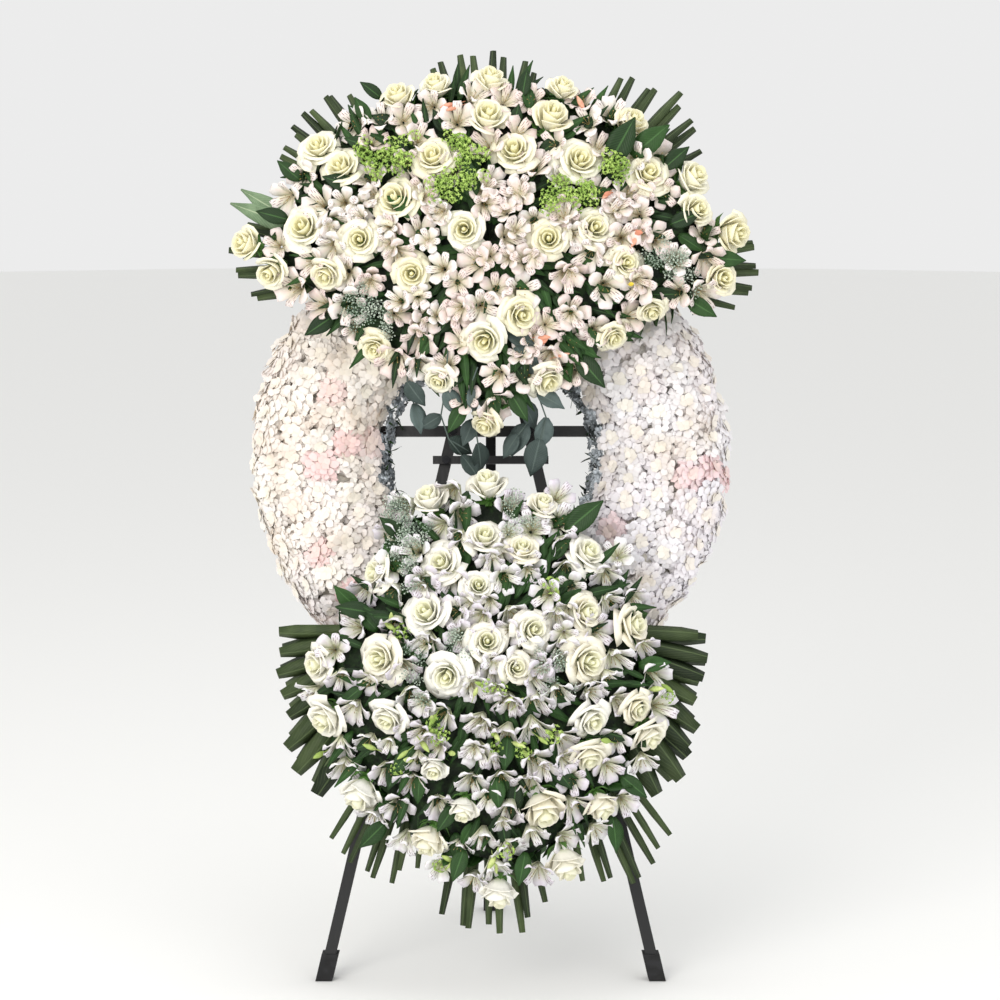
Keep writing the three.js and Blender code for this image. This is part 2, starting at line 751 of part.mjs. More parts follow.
function makeSpray(spray, palms, material, seed) {
  const random = seededRandom(seed);
  const form = sprayForm(spray);
  place(`${spray.name}_foam`, foamBlock(spray.foamZ, 0), greenFoam);
  for (const [name, hubX, hubZ, direction, spread, length] of palms) {
    const x = hubX + Math.sign(hubX) * gap * (Math.abs(hubX) >= foam.halfWidth);
    const z = spray.foamZ + hubZ + Math.sign(hubZ) * gap * (Math.abs(hubZ) >= foam.halfHigh);
    const leaf = palmLeaf(x, z, direction, spread, length, random);
    place(`${spray.name}_palm_${name}`, solid(leaf), palmGreen);
  }
  const names = Object.keys(spray.bunches);
  const seeds = Object.values(spray.bunches);
  const core = sprayCore(form).subtract(foamBlock(spray.foamZ, gap));
  const parts = names.map(() => [core]);
  const addBloom = (shape, [x, z, across]) => {
    const own = nearestBunch(seeds, x, z);
    const [bx, bz] = movedIn(seeds, own, x, z, across / 2);
    const facing = form.outward(bx, bz);
    const spin = 2 * Math.PI * random();
    parts[own].push(placedAt(shape, bx, bz, form.depth(bx, bz), facing, spin, across / 2));
  };
  spray.roses.forEach(([x, z, across]) => addBloom(rose, [x, z, flower.roseScale * across]));
  scatter(spray, form, random).forEach((bloom) => addBloom(alstroemeria, bloom));
  for (const [x, z, pointing, length] of spray.leaves) {
    const own = nearestBunch(seeds, x, z);
    const facing = form.outward(x, z);
    const leaf = solid(leafGeometry(length, flower.leafWide));
    const spin = THREE.MathUtils.degToRad(pointing);
    parts[own].push(placedAt(leaf, x, z, form.depth(x, z) - flower.leafRoot, facing, spin, 1));
  }
  names.forEach((name, own) => {
    const whole = wasm.Manifold.union(parts[own]);
    place(`${spray.name}_bunch_${name}`, largestBody(trimmedToBunch(whole, seeds, own)), material);
  });
}

makeEasel();
makeRing();
makeSpray(topSpray, topPalms, roseCream, 11);
makeSpray(lowerSpray, lowerPalms, roseWhite, 23);

// The whole leans back on its rear leg and stands on the origin
leaning.rotation.x = -lean;
const group = new THREE.Group();
group.add(leaning);
group.updateMatrixWorld(true);
const bounds = new THREE.Box3().setFromObject(group, true);
leaning.position.set(
  -(bounds.min.x + bounds.max.x) / 2,
  -(bounds.min.y + bounds.max.y) / 2,
  -bounds.min.z,
);

export default group;
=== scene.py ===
import bpy
from math import acos, atan2, cos, degrees, hypot, pi, radians, sin
from mathutils import Matrix, Vector
from random import Random


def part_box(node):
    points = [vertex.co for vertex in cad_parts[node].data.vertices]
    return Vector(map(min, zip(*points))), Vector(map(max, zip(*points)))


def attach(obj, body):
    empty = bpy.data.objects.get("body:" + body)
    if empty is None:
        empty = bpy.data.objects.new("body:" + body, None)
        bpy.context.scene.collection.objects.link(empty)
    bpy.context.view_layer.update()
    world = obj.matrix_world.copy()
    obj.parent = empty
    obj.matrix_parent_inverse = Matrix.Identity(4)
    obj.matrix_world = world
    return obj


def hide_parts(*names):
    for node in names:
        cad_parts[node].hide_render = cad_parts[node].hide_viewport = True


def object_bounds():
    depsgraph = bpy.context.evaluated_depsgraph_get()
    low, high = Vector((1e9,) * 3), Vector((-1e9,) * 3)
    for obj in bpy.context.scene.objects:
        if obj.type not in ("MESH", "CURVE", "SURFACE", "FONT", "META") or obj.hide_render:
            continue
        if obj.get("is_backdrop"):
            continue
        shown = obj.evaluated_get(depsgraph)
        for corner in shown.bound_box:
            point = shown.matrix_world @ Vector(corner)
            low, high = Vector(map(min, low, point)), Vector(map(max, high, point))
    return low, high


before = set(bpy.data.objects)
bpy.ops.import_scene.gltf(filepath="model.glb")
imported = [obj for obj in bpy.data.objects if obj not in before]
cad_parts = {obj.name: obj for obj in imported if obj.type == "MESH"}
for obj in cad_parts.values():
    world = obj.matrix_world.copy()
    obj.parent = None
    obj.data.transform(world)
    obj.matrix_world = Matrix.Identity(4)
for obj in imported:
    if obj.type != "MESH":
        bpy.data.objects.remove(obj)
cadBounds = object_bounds()

# Flowers are laid out on the wreath's own leaning plane, in metres: x to the right, depth towards
# the viewer and z up the easel's front legs.
leanAngle = radians(12)
crossbar = {"half": 0.310, "front": 0.0003, "back": 0.0143, "low": 0.9675}


def findLeaning():
    low = Vector(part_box("wide_crossbar")[0])
    cosine, sine = cos(leanAngle), sin(leanAngle)
    corner = Vector((
        -crossbar["half"],
        crossbar["front"] * cosine + crossbar["low"] * sine,
        -crossbar["back"] * sine + crossbar["low"] * cosine,
    ))
    return Matrix.Translation(low - corner) @ Matrix.Rotation(-leanAngle, 4, "X")


leaning = findLeaning()


def spot(x, depth, z):
    return leaning @ Vector((x, -depth, z))


def heading(x, depth, z):
    return (leaning.to_3x3() @ Vector((x, -depth, z))).normalized()


def facing(outward):
    return outward.to_track_quat("Z", "Y").to_euler()


def added(name, data):
    made = bpy.data.objects.new(name, data)
    bpy.context.scene.collection.objects.link(made)
    return made


# The camera comes first: square to the photograph's frame, far enough away to look flat
cameraView = {
    "sensor": 36, "distance": 6.0, "elevation": 9.0, "metresAcross": 1.75, "aim": (0.0166, 0.1, 0.849),
}


def makeCamera():
    camera = bpy.data.cameras.new("photoCamera")
    camera.sensor_width = cameraView["sensor"]
    camera.lens = cameraView["sensor"] * cameraView["distance"] / cameraView["metresAcross"]
    holder = added("photoCamera", camera)
    rise = radians(cameraView["elevation"])
    outward = Vector((0, -cos(rise), sin(rise)))
    holder.location = spot(*cameraView["aim"]) + outward * cameraView["distance"]
    holder.rotation_euler = facing(outward)
    bpy.context.scene.camera = holder


makeCamera()


# Shader wiring: sockets that take arithmetic
def arithmetic(operation, turnedRound=False):
    def worked(self, other):
        first, second = (other, self) if turnedRound else (self, other)
        return self.finish.node("ShaderNodeMath", {"operation": operation}, {0: first, 1: second})
    return worked


class Wire:
    def __init__(self, finish, socket):
        self.finish = finish
        self.socket = socket

    __add__, __radd__ = arithmetic("ADD"), arithmetic("ADD", True)
    __sub__, __rsub__ = arithmetic("SUBTRACT"), arithmetic("SUBTRACT", True)
    __mul__, __rmul__ = arithmetic("MULTIPLY"), arithmetic("MULTIPLY", True)
    __pow__ = arithmetic("POWER")


def hexColour(text):
    def linear(part):
        value = int(part, 16) / 255
        return value / 12.92 if value <= 0.04045 else ((value + 0.055) / 1.055) ** 2.4
    return (linear(text[0:2]), linear(text[2:4]), linear(text[4:6]), 1.0)


class Finish:
    def __init__(self, name):
        self.material = bpy.data.materials.new(name)
        self.material.use_nodes = True
        self.tree = self.material.node_tree
        self.tree.nodes.clear()

    def node(self, kind, settings=None, inputs=None, output=0):
        made = self.tree.nodes.new(kind)
        for key, value in (settings or {}).items():
            setattr(made, key, value)
        for key, value in (inputs or {}).items():
            if isinstance(value, Wire):
                self.tree.links.new(value.socket, made.inputs[key])
            else:
                made.inputs[key].default_value = value
        return Wire(self, made.outputs[output]) if made.outputs else None

    def mark(self, name):
        return self.node("ShaderNodeAttribute", {"attribute_name": name}, output="Fac")

    def marks(self, *names):
        return [self.mark(name) for name in names]

    def noise(self, scale, detail=2.0, stretch=(1, 1, 1)):
        place = self.node("ShaderNodeTexCoord", output="Object")
        sized = self.node("ShaderNodeMapping", inputs={"Vector": place, "Scale": stretch})
        return self.node("ShaderNodeTexNoise", inputs={"Vector": sized, "Scale": scale, "Detail": detail})

    def between(self, value, low, high):
        wires = {"Value": value, "From Min": low, "From Max": high}
        return self.node("ShaderNodeMapRange", {"interpolation_type": "SMOOTHSTEP"}, wires)

    def mix(self, factor, first, second):
        # each colour is a wire or hex text
        settings = {"data_type": "RGBA", "clamp_factor": True}
        first, second = (hexColour(each) if isinstance(each, str) else each for each in (first, second))
        return self.node("ShaderNodeMix", settings, {0: factor, 6: first, 7: second}, 2)

    def sine(self, value):
        return self.node("ShaderNodeMath", {"operation": "SINE"}, {0: value})

    def size(self, value):
        return self.node("ShaderNodeMath", {"operation": "ABSOLUTE"}, {0: value})

    def surface(self, colour, roughness, height=None, bumpDistance=0.0005, **fixed):
        # height is a wire that roughens the surface by bumpDistance, in metres
        inputs = {"Base Color": colour, "Roughness": roughness}
        if height is not None:
            inputs["Normal"] = self.node(
                "ShaderNodeBump", inputs={"Height": height, "Distance": bumpDistance, "Strength": 0.6}
            )
        inputs.update({key.replace("_", " "): value for key, value in fixed.items()})
        shader = self.node("ShaderNodeBsdfPrincipled", inputs=inputs)
        self.node("ShaderNodeOutputMaterial", inputs={"Surface": shader})
        return self.material


# Finishes
def petalFinish(name, colours):
    f = Finish(name)
    along, layer, tint = f.marks("along", "layer", "tint")
    outer = f.mix(tint, colours["pale"], colours["warm"])
    inner = f.mix(f.between(layer, 0.0, colours["heartReach"]), colours["heart"], outer)
    rooted = f.mix(f.between(along, 0.0, 0.5), colours["root"], inner)
    edge = f.mix(f.between(along, 0.9, 1.0) * f.noise(60) * 0.4, rooted, colours["edge"])
    sepals = f.mix(f.between(layer, 1.2, 1.6), edge, colours["sepal"])
    veins = f.noise(900, 1.0) * 0.4 + f.sine(f.mark("across") * 26) * along * 0.25
    return f.surface(sepals, 0.55, veins, 0.0004)


def alstroemeriaFinish(name, colours):
    f = Finish(name)
    along, across, layer, tint = f.marks("along", "across", "layer", "tint")
    blush = f.mix(tint, colours["white"], colours["blush"])
    throat = f.mix(f.between(along, 0.1, 0.6), colours["throat"], blush)
    middle = f.mix((1 - f.between(f.size(across), 0.0, 0.5)) * 0.35, throat, colours["rib"])
    inside = f.between(layer, 0.3, 0.5) * (1 - f.between(layer, 0.7, 0.9))
    wave = f.sine(across * 13 + f.noise(260) * 2.0)
    dash = f.sine(along * 22 + across * 9)
    reach = f.between(along, 0.15, 0.3) * (1 - f.between(along, 0.62, 0.85))
    streaks = f.between(wave, 0.5, 0.85) * f.between(dash, -0.4, 0.2) * reach * 0.85
    marked = f.mix(streaks * inside, middle, colours["streak"])
    tipped = f.mix(f.between(along, 0.9, 1.0) * 0.7, marked, colours["tip"])
    stamens = f.mix(f.between(layer, 0.8, 0.9), tipped, colours["stamen"])
    return f.surface(stamens, 0.5, f.sine(across * 30) * 0.3, 0.0003)


def headFinish(name):
    f = Finish(name)
    along, layer, tint, blush = f.marks("along", "layer", "tint", "blush")
    # painted shade: the cooler, greyer white goes on the ring's right and lower side, with some random spread
    white = f.mix(tint, "F5EFE6", "ECEAEE")
    heart = f.mix(f.between(layer, -0.2, 0.3), "F3ECDB", white)
    # painted shade: random beige patches, darker than the white petals
    beigeShadePatches = f.mix(f.between(f.noise(11, 4), 0.5, 0.68) * 0.5, heart, "DDCFBC")
    pink = f.mix(blush, beigeShadePatches, "EDBDBD")
    rooted = f.mix(f.between(along, 0.0, 0.45), "DFD8CA", pink)
    return f.surface(rooted, 0.6, f.noise(700) * 0.5, 0.0004)


def leafFinish(name, colours, gloss=0.42):
    f = Finish(name)
    along, across, tint = f.marks("along", "across", "tint")
    body = f.mix(tint, colours["dark"], colours["light"])
    patchy = f.mix(f.between(f.noise(35, 3), 0.35, 0.7) * 0.5, body, colours["patch"])
    side = f.size(across)
    rib = f.mix((1 - f.between(side, 0.02, 0.12)) * 0.7, patchy, colours["rib"])
    veins = f.sine((along + side * 0.25) * 95)
    netted = f.mix(f.between(veins, 0.75, 1.0) * 0.25, rib, colours["rib"])
    rough = gloss + f.noise(180) * 0.15
    return f.surface(netted, rough, veins * 0.4 + f.noise(400) * 0.4, 0.0005, Specular_IOR_Level=0.3)


def fillerFinish(name, pale, deep):
    f = Finish(name)
    colour = f.mix(f.between(f.noise(120, 2), 0.4, 0.7) * 0.6, pale, deep)
    shaded = f.mix(f.mark("tint") ** 2, colour, deep)
    return f.surface(shaded, 0.7, f.noise(900), 0.0004)


def bedFinish(name, dark, light):
    f = Finish(name)
    moss = f.between(f.noise(70, 5), 0.4, 0.7)
    colour = f.mix(moss, dark, light)
    return f.surface(colour, 0.85, f.noise(160, 4), 0.004)


def paintedWood(name):
    f = Finish(name)
    grain = f.noise(22, 4, (6, 6, 0.5))
    worn = f.between(f.noise(9, 5), 0.62, 0.8) * 0.4
    colour = f.mix(worn, "0B0B0D", "24211E")
    return f.surface(colour, 0.34 + grain * 0.22, grain + f.noise(300) * 0.2, 0.0006)


def blackSteel(name):
    f = Finish(name)
    colour = f.mix(f.noise(240, 3) * 0.5, "15161A", "3A3A3C")
    return f.surface(colour, 0.3 + f.noise(90) * 0.2, f.noise(500), 0.0002, Metallic=0.8)


def footRubber(name):
    f = Finish(name)
    colour = f.mix(f.between(f.noise(60, 3), 0.4, 0.7), "101011", "242426")
    return f.surface(colour, 0.7 + f.noise(120) * 0.2, f.noise(600), 0.0004)


def floralFoam(name):
    f = Finish(name)
    colour = f.mix(f.noise(150, 4), "1E3A22", "46663F")
    return f.surface(colour, 0.9, f.noise(900, 3) + f.noise(150, 3), 0.0015)


finishes = {
    "roseCream": petalFinish("roseCreamPetals", {
        "pale": "FBF9E9", "warm": "F7F2D6", "heart": "F2EDC4", "root": "E6E7BC", "edge": "F2E8CC",
        "sepal": "4F7A33", "heartReach": 0.6}),
    "roseWhite": petalFinish("roseWhitePetals", {
        "pale": "FBFAF3", "warm": "F7F2DF", "heart": "F0EFCF", "root": "DFE4BE", "edge": "F2E8D2",
        "sepal": "4F7A33", "heartReach": 0.5}),
    "alstroWarm": alstroemeriaFinish("alstroemeriaWarm", {
        "white": "FBF8F5", "blush": "F2E0DA", "throat": "ECE8CC", "rib": "EBCFCA", "streak": "6A2A30",
        "tip": "B4BE84", "stamen": "B59A5E"}),
    "alstroCool": alstroemeriaFinish("alstroemeriaCool", {
        "white": "FAF9FA", "blush": "E6E0E9", "throat": "E3E6C4", "rib": "D6C6D4", "streak": "5E2A38",
        "tip": "A8B682", "stamen": "A8905C"}),
    "heads": headFinish("ringHeadPetals"),
    "leaf": leafFinish("broadLeaf", {
        "dark": "11240E", "light": "2F5520", "patch": "1A3412", "rib": "48703A"}),
    "striped": leafFinish("stripedLeaf", {
        "dark": "5F7A56", "light": "8FA584", "patch": "42603C", "rib": "B9C7A4"}),
    "palm": leafFinish("palmLeaf", {
        "dark": "111D0C", "light": "53633A", "patch": "22331A", "rib": "5F7049"}, 0.5),
    "eucalyptus": leafFinish("eucalyptusLeaf", {
        "dark": "1B2722", "light": "6E7E7C", "patch": "33423D", "rib": "66756F"}, 0.6),
    "lime": fillerFinish("limeFiller", "BDD873", "86A848"),
    "grey": fillerFinish("greyFiller", "CBD5C6", "7F9580"),
    # rim florets: the pale blue-grey and the near-black are painted shade on white blooms in the rim's shade
    "rim": fillerFinish("rimFloret", "D3DBE3", "18221F"),
    "yellow": fillerFinish("yellowBud", "F0D545", "C9B23A"),
    "bud": fillerFinish("closedBud", "F0B79B", "D98E72"),
    "limeBud": fillerFinish("limeBud", "D3DE93", "93B14E"),
    "bed": bedFinish("stemBed", "0E1A0B", "26401B"),
    "moss": bedFinish("mossBed", "D8D2C6", "F1EDE6"),
}
print("finishes ready")


# Thin closed sheets and blobs, gathered into one mesh with marks for the shaders
class Sheets:
    def __init__(self):
        self.points = []
        self.faces = []
        self.marks = []
        self.flat = []

    def add(self, place, along, layer=0.0, across=0.0):
        self.points.append(place)
        self.marks.append((along, across, layer))

    def circle(self, centre, side, other, radius, sides, along, layer):
        for k in range(sides):
            turn = 2 * pi * k / sides
            self.add(centre + (side * cos(turn) + other * sin(turn)) * radius, along, layer)

    def sheet(self, shape, rows, cols, thick, layer):
        # shape gives a point for u, -1 to 1 across, and v, 0 to 1 along
        first = len(self.points)
        grid = [
            [Vector(shape(2 * c / cols - 1, r / rows)) for c in range(cols + 1)] for r in range(rows + 1)
        ]
        for side in (0.5, -0.5):
            for r in range(rows + 1):
                for c in range(cols + 1):
                    up = grid[min(r + 1, rows)][c] - grid[max(r - 1, 0)][c]
                    over = grid[r][min(c + 1, cols)] - grid[r][max(c - 1, 0)]
                    place = grid[r][c] + over.cross(up).normalized() * thick * side
                    self.add(place, r / rows, layer, 2 * c / cols - 1)
        wide = cols + 1
        back = wide * (rows + 1)
        corner = lambda r, c: first + r * wide + c
        for r in range(rows):
            for c in range(cols):
                quad = (corner(r, c), corner(r, c + 1), corner(r + 1, c + 1), corner(r + 1, c))
                self.faces.append(quad)
                self.faces.append(tuple(index + back for index in reversed(quad)))
        rim = [corner(0, c) for c in range(cols)] + [corner(r, cols) for r in range(rows)]
        rim += [corner(rows, c) for c in range(cols, 0, -1)] + [corner(r, 0) for r in range(rows, 0, -1)]
        for a, b in zip(rim, rim[1:] + rim[:1]):
            self.faces.append((a, a + back, b + back, b))

    def petal(self, outline, swell, layer):
        # a small closed petal: its outline runs root, right side, tip, left side
        first = len(self.points)
        outline = [Vector(point) for point in outline]
        middle = sum(outline, Vector()) / len(outline)
        lift = (outline[1] - outline[0]).cross(outline[-1] - outline[0]).normalized() * swell
        count = len(outline)
        root = outline[0]
        longest = max((point - root).length for point in outline)
        for point in outline:
            self.add(point, (point - root).length / longest, layer)
        self.add(middle + lift, 0.6, layer)
        self.add(middle - lift, 0.6, layer)
        self.flat += range(len(self.faces), len(self.faces) + 2 * count)
        for index in range(count):
            following = (index + 1) % count
            self.faces.append((first + index, first + following, first + count))
            self.faces.append((first + following, first + index, first + count + 1))

    def tube(self, path, radius, sides, layer):
        # a closed stem through the path's points
        first = len(self.points)
        for index, point in enumerate(path):
            ahead = path[min(index + 1, len(path) - 1)] - path[max(index - 1, 0)]
            side = ahead.cross(Vector((0.3, 1, 0.2))).normalized()
            other = ahead.normalized().cross(side)
            self.circle(point, side, other, radius, sides, index / (len(path) - 1), layer)
        for index in range(len(path) - 1):
            low = first + index * sides
            for k in range(sides):
                following = (k + 1) % sides
                self.faces.append((low + k, low + following, low + sides + following, low + sides + k))
        self.faces.append(tuple(first + k for k in reversed(range(sides))))
        self.faces.append(tuple(first + (len(path) - 1) * sides + k for k in range(sides)))

    def blob(self, base, axis, profile, sides, layer):
        # profile holds (share of the axis, radius) between its two end points
        first = len(self.points)
        base, axis = Vector(base), Vector(axis)
        side = axis.orthogonal().normalized()
        other = axis.normalized().cross(side)
        self.add(base, 0.0, layer)
        for share, radius in profile:
            self.circle(base + axis * share, side, other, radius, sides, share, layer)
        self.add(base + axis, 1.0, layer)
        last = len(self.points) - 1
        rings = len(profile)
        for k in range(sides):
            nextSide = (k + 1) % sides
            self.faces.append((first, first + 1 + nextSide, first + 1 + k))
            for ring in range(rings - 1):
                low = first + 1 + ring * sides
                self.faces.append((low + k, low + nextSide, low + sides + nextSide, low + sides + k))
            top = first + 1 + (rings - 1) * sides
            self.faces.append((top + k, top + nextSide, last))

    def mesh(self, name):
        mesh = bpy.data.meshes.new(name)
        mesh.from_pydata(self.points, [], self.faces)
        for index, mark in enumerate(("along", "across", "layer")):
            attribute = mesh.attributes.new(mark, "FLOAT", "POINT")
            attribute.data.foreach_set("value", [values[index] for values in self.marks])
        mesh.shade_smooth()
        for index in self.flat:
            mesh.polygons[index].use_smooth = False
        return mesh

    def model(self, name, finish=None):
        made = added(name, self.mesh(name))
        if finish:
            made.data.materials.append(finishes[finish])
        return made


def turned(turn, along, sideways, height):
    # a point given along and across a heading, as x, y and height
    across, up = cos(turn), sin(turn)
    return (along * across - sideways * up, along * up + sideways * across, height)


# One flower or leaf of each kind, in unit size
goldenTurn = 2.39996
rose = {"rows": 5, "cols": 4, "thick": 0.024, "root": 0.06, "deep": 0.62, "sepals": 5, "sepalThick": 0.03}


def makeRose(name, petals, openness, tall, seed):
    chance = Random(seed)
    sheets = Sheets()
    root, deep = rose["root"], rose["deep"]
    for petal in range(petals):
        # share runs from the innermost petal to the outermost
        share = petal / (petals - 1)
        turn = petal * goldenTurn + chance.uniform(-0.2, 0.2)
        rim = 0.09 + 0.73 * openness * share ** 0.85
        top = tall - (0.36 + 0.1 * openness) * share ** 1.4 + chance.uniform(-0.03, 0.03)
        half = 1.25 - 0.33 * share + chance.uniform(-0.06, 0.06)
        curl = 0.02 + 0.22 * openness * share ** 1.2
        flare = 0.45 * share * openness ** 3
        bulge = 2.1 - 1.8 * flare
        tilt = chance.uniform(-0.08, 0.08)
        crimp = chance.uniform(0, 6)

        def shape(u, v):
            rolled = max(0.0, v - 0.66) / 0.34
            angle = turn + u * half * (0.25 + 0.75 * sin(pi * (0.08 + 0.56 * v))) + tilt * v
            radius = root + rim * (1 - (1 - v) ** bulge) + curl * rolled ** 2 * (1 - 0.4 * u * u)
            radius *= 1 + 0.09 * u + 0.02 * sin(3 * u + crimp) * rolled
            height = -deep + (top + deep) * v ** (1.2 - flare) - 0.75 * curl * rolled ** 2.4
            height -= (0.10 + 0.10 * share) * u * u * v
            return turned(angle, radius, 0, height)

        sheets.sheet(shape, rose["rows"], rose["cols"], rose["thick"], share)
    sheets.blob((0, 0, -0.5), (0, 0, tall + 0.42), [(0.1, 0.12), (0.6, 0.11), (0.9, 0.07)], 6, 0.0)
    calyx = [(0.05, 0.06), (0.5, 0.07), (0.75, 0.2), (0.92, 0.24)]
    sheets.blob((0, 0, -1.15), (0, 0, 0.72), calyx, 7, 2.0)
    for sepal in range(rose["sepals"]):
        turn = 2 * pi * sepal / rose["sepals"] + chance.uniform(-0.2, 0.2)

        def sepalShape(u, v):
            radius = 0.12 + 0.62 * v
            height = -0.66 - 0.12 * sin(pi * v) + 0.30 * v * v
            angle = turn + u * 0.55 * (1 - v) ** 0.8 / (0.5 + v)
            return turned(angle, radius, 0, height)

        sheets.sheet(sepalShape, 3, 2, rose["sepalThick"], 2.0)
    return sheets.model(name)


alstroemeria = {"rows": 4, "cols": 2, "thick": 0.02, "broad": 0.36, "narrow": 0.25, "stamens": 4}


def makeAlstroemeria(name, opening, seed):
    chance = Random(seed)
    sheets = Sheets()
    for tepal in range(6):
        inner = tepal % 2
        turn = tepal * pi / 3 + chance.uniform(-0.08, 0.08)
        width = alstroemeria["narrow"] if inner else alstroemeria["broad"]
        length = (0.92 if inner else 1.0) * chance.uniform(0.94, 1.04)
        lift = (0.12 if inner else 0.0) + opening

        def shape(u, v):
            reach = 0.06 + (length - 0.06) * sin(v * pi / 2) ** 1.1
            height = -0.75 * (1 - v) ** 1.7 + lift * sin(pi * v * 0.75) - 0.16 * v ** 4
            half = width * (0.22 + 0.78 * sin(pi * (0.05 + 0.85 * v))) * (1 - 0.45 * v ** 6)
            height += 0.10 * u * u * sin(pi * v)
            return turned(turn, reach, u * half, height)

        sheets.sheet(shape, alstroemeria["rows"], alstroemeria["cols"], alstroemeria["thick"], 0.5 * inner)
    for stamen in range(alstroemeria["stamens"]):
        tip = turned(0.6 + stamen * 1.4, 0.22, 0, 0.55)
        sheets.blob((0, 0, -0.5), tip, [(0.1, 0.012), (0.82, 0.012), (0.88, 0.035)], 3, 1.0)
    return sheets.model(name)


# a head is a dome of small broad petals that turn every way; each tier: petals, angle from the middle
head = {
    "tiers": [(5, 9), (10, 26), (14, 43), (16, 61)], "inside": 0.86,
    "long": 0.42, "broad": 0.38, "lift": 0.18, "twist": 0.9, "flat": 0.72, "swell": 0.008,
}


def makeHead(name, seed):
    chance = Random(seed)
    sheets = Sheets()
    for tier, (count, fromMiddle) in enumerate(head["tiers"]):
        for petal in range(count):
            turn = 2 * pi * (petal + 0.5 * tier) / count + chance.uniform(-0.25, 0.25)
            polar = radians(fromMiddle + chance.uniform(-5, 5))
            middle = Vector(turned(turn, sin(polar), 0, cos(polar)))
            down = Vector(turned(turn, cos(polar), 0, -sin(polar)))
            down.rotate(Matrix.Rotation(chance.uniform(-1, 1) * head["twist"], 3, middle).to_quaternion())
            over = middle.cross(down)
            raised = head["lift"] * chance.uniform(0.4, 1.6)
            lean = chance.uniform(-0.35, 0.35)

            def corner(share, side):
                point = middle * (0.85 + raised * share + 0.3 * lean * side)
                point += down * head["long"] * (share - 0.45) + over * head["broad"] * 0.5 * side
                return (point.x, point.y, point.z * head["flat"])

            outline = [corner(0, 0), corner(0.45, 1.0), corner(0.92, 0.85), corner(1.0, 0.0),
                       corner(0.88, -0.9), corner(0.4, -1.0)]
            sheets.petal(outline, head["swell"], tier / 3)
    inside = head["inside"]
    profile = [(0.25, inside), (0.62, 0.82 * inside), (0.86, 0.5 * inside)]
    sheets.blob((0, 0, -0.25), (0, 0, 0.22 + head["flat"] * inside), profile, 8, 0.5)
    return sheets.model(name)


def makeFloret(name, petals):
    sheets = Sheets()
    for petal in range(petals):
        turn = 2 * pi * petal / petals

        def shape(u, v):
            wide = 0.42 * sin(pi * (0.12 + 0.7 * v))
            return turned(turn, v, u * wide, 0.3 * v * (1.6 - v) + 0.1 * (petal % 2))

        sheets.sheet(shape, 2, 1, 0.04, 0.0)
    sheets.blob((0, 0, -0.9), (0, 0, 1.1), [(0.1, 0.05), (0.8, 0.08), (0.95, 0.12)], 4, 1.0)
    return sheets.model(name)


def makeLeaf(name, width, sag, tipPower, rows=7, cols=4, fold=0.12, thick=0.008):
    # a leaf one unit long, from the origin along +X, facing +Z
    sheets = Sheets()

    def shape(u, v):
        half = width * sin(pi * (0.03 + 0.94 * v) ** 0.85) ** 0.8 * (1 - v ** tipPower)
        half += 0.012
        height = fold * abs(u) * half * 2 - sag * v * v
        return (v, -u * half, height + 0.015 * sin(9 * v) * u)

    sheets.sheet(lambda u, v: shape(-u, v), rows, cols, thick, 0.0)
    return sheets.model(name)


def makeStrip(name, width, sag):
    # one palm blade, blunt at the tip and folded along its rib
    sheets = Sheets()

    def shape(u, v):
        half = width * (0.25 + 0.75 * min(1.0, v * 2.2)) * (1 - 0.35 * v ** 20)
        height = 0.6 * half * (1 - abs(u)) - sag * v ** 2.2
        return (v, u * half, height)

    sheets.sheet(shape, 8, 2, 0.004, 0.0)
    return sheets.model(name)


def makeCluster(name, count, ball, seed, petals=False):
    chance = Random(seed)
    sheets = Sheets()
    for floret in range(count):
        rise = acos(1 - 0.95 * (floret + 0.5) / count)
        reach = chance.uniform(0.75, 1.05)
        tip = Vector(turned(floret * goldenTurn, sin(rise), 0, cos(rise)))
        sheets.blob((0, 0, -0.6), tip * reach + Vector((0, 0, 0.6)), [(0.1, 0.02), (0.8, 0.02)], 3, 1.0)
        around = tip * reach
        profile = [(0.3, ball), (0.75, ball * 0.9)]
        sheets.blob(around - tip * ball, tip * 2 * ball, profile, 5, 0.0)
        if petals:
            for petal in range(4):
                side = tip.orthogonal().normalized()
                side.rotate(Matrix.Rotation(petal * pi / 2, 3, tip).to_quaternion())
                sheets.blob(around, side * 2.4 * ball, [(0.5, ball * 0.55)], 4, 0.2)
    return sheets.model(name)


def makeBud(name):
    sheets = Sheets()
    profile = [(0.04, 0.05), (0.12, 0.13), (0.35, 0.21), (0.6, 0.2), (0.85, 0.1)]
    sheets.blob((0, 0, -0.3), (0, 0, 1.3), profile, 7, 0.3)
    sheets.blob((0, 0, -1.2), (0, 0, 1.0), [(0.1, 0.035), (0.9, 0.045)], 5, 1.0)
    return sheets.model(name)


# each model's name, its maker and what the maker takes after the name
models = {}
for modelName, make, *values in (
    ("roseOpen", makeRose, 15, 1.0, 0.36, 3),
    ("roseFull", makeRose, 14, 0.92, 0.42, 8),
    ("roseTight", makeRose, 12, 0.76, 0.62, 15),
    ("alstroOpen", makeAlstroemeria, 0.05, 4),
    ("alstroHalf", makeAlstroemeria, 0.30, 9),
    ("floret", makeFloret, 6),
    ("headA", makeHead, 2),
    ("headB", makeHead, 5),
    ("broad", makeLeaf, 0.24, 0.16, 7),
    ("lance", makeLeaf, 0.10, 0.22, 5, 7, 2),
    ("strap", makeLeaf, 0.13, 0.35, 6),
    ("stripTop", makeStrip, 0.025, 0.04),
    ("stripFan", makeStrip, 0.058, 0.06),
    ("stripLow", makeStrip, 0.0175, 0.03),
    ("ovate", makeLeaf, 0.30, 0.12, 5, 6, 4, 0.08),
    ("limeCluster", makeCluster, 11, 0.14, 6, True),
    ("greyCluster", makeCluster, 15, 0.11, 7),
    ("bud", makeBud),
):
    models[modelName] = make(modelName, *values)
print("flowers and leaves modelled")


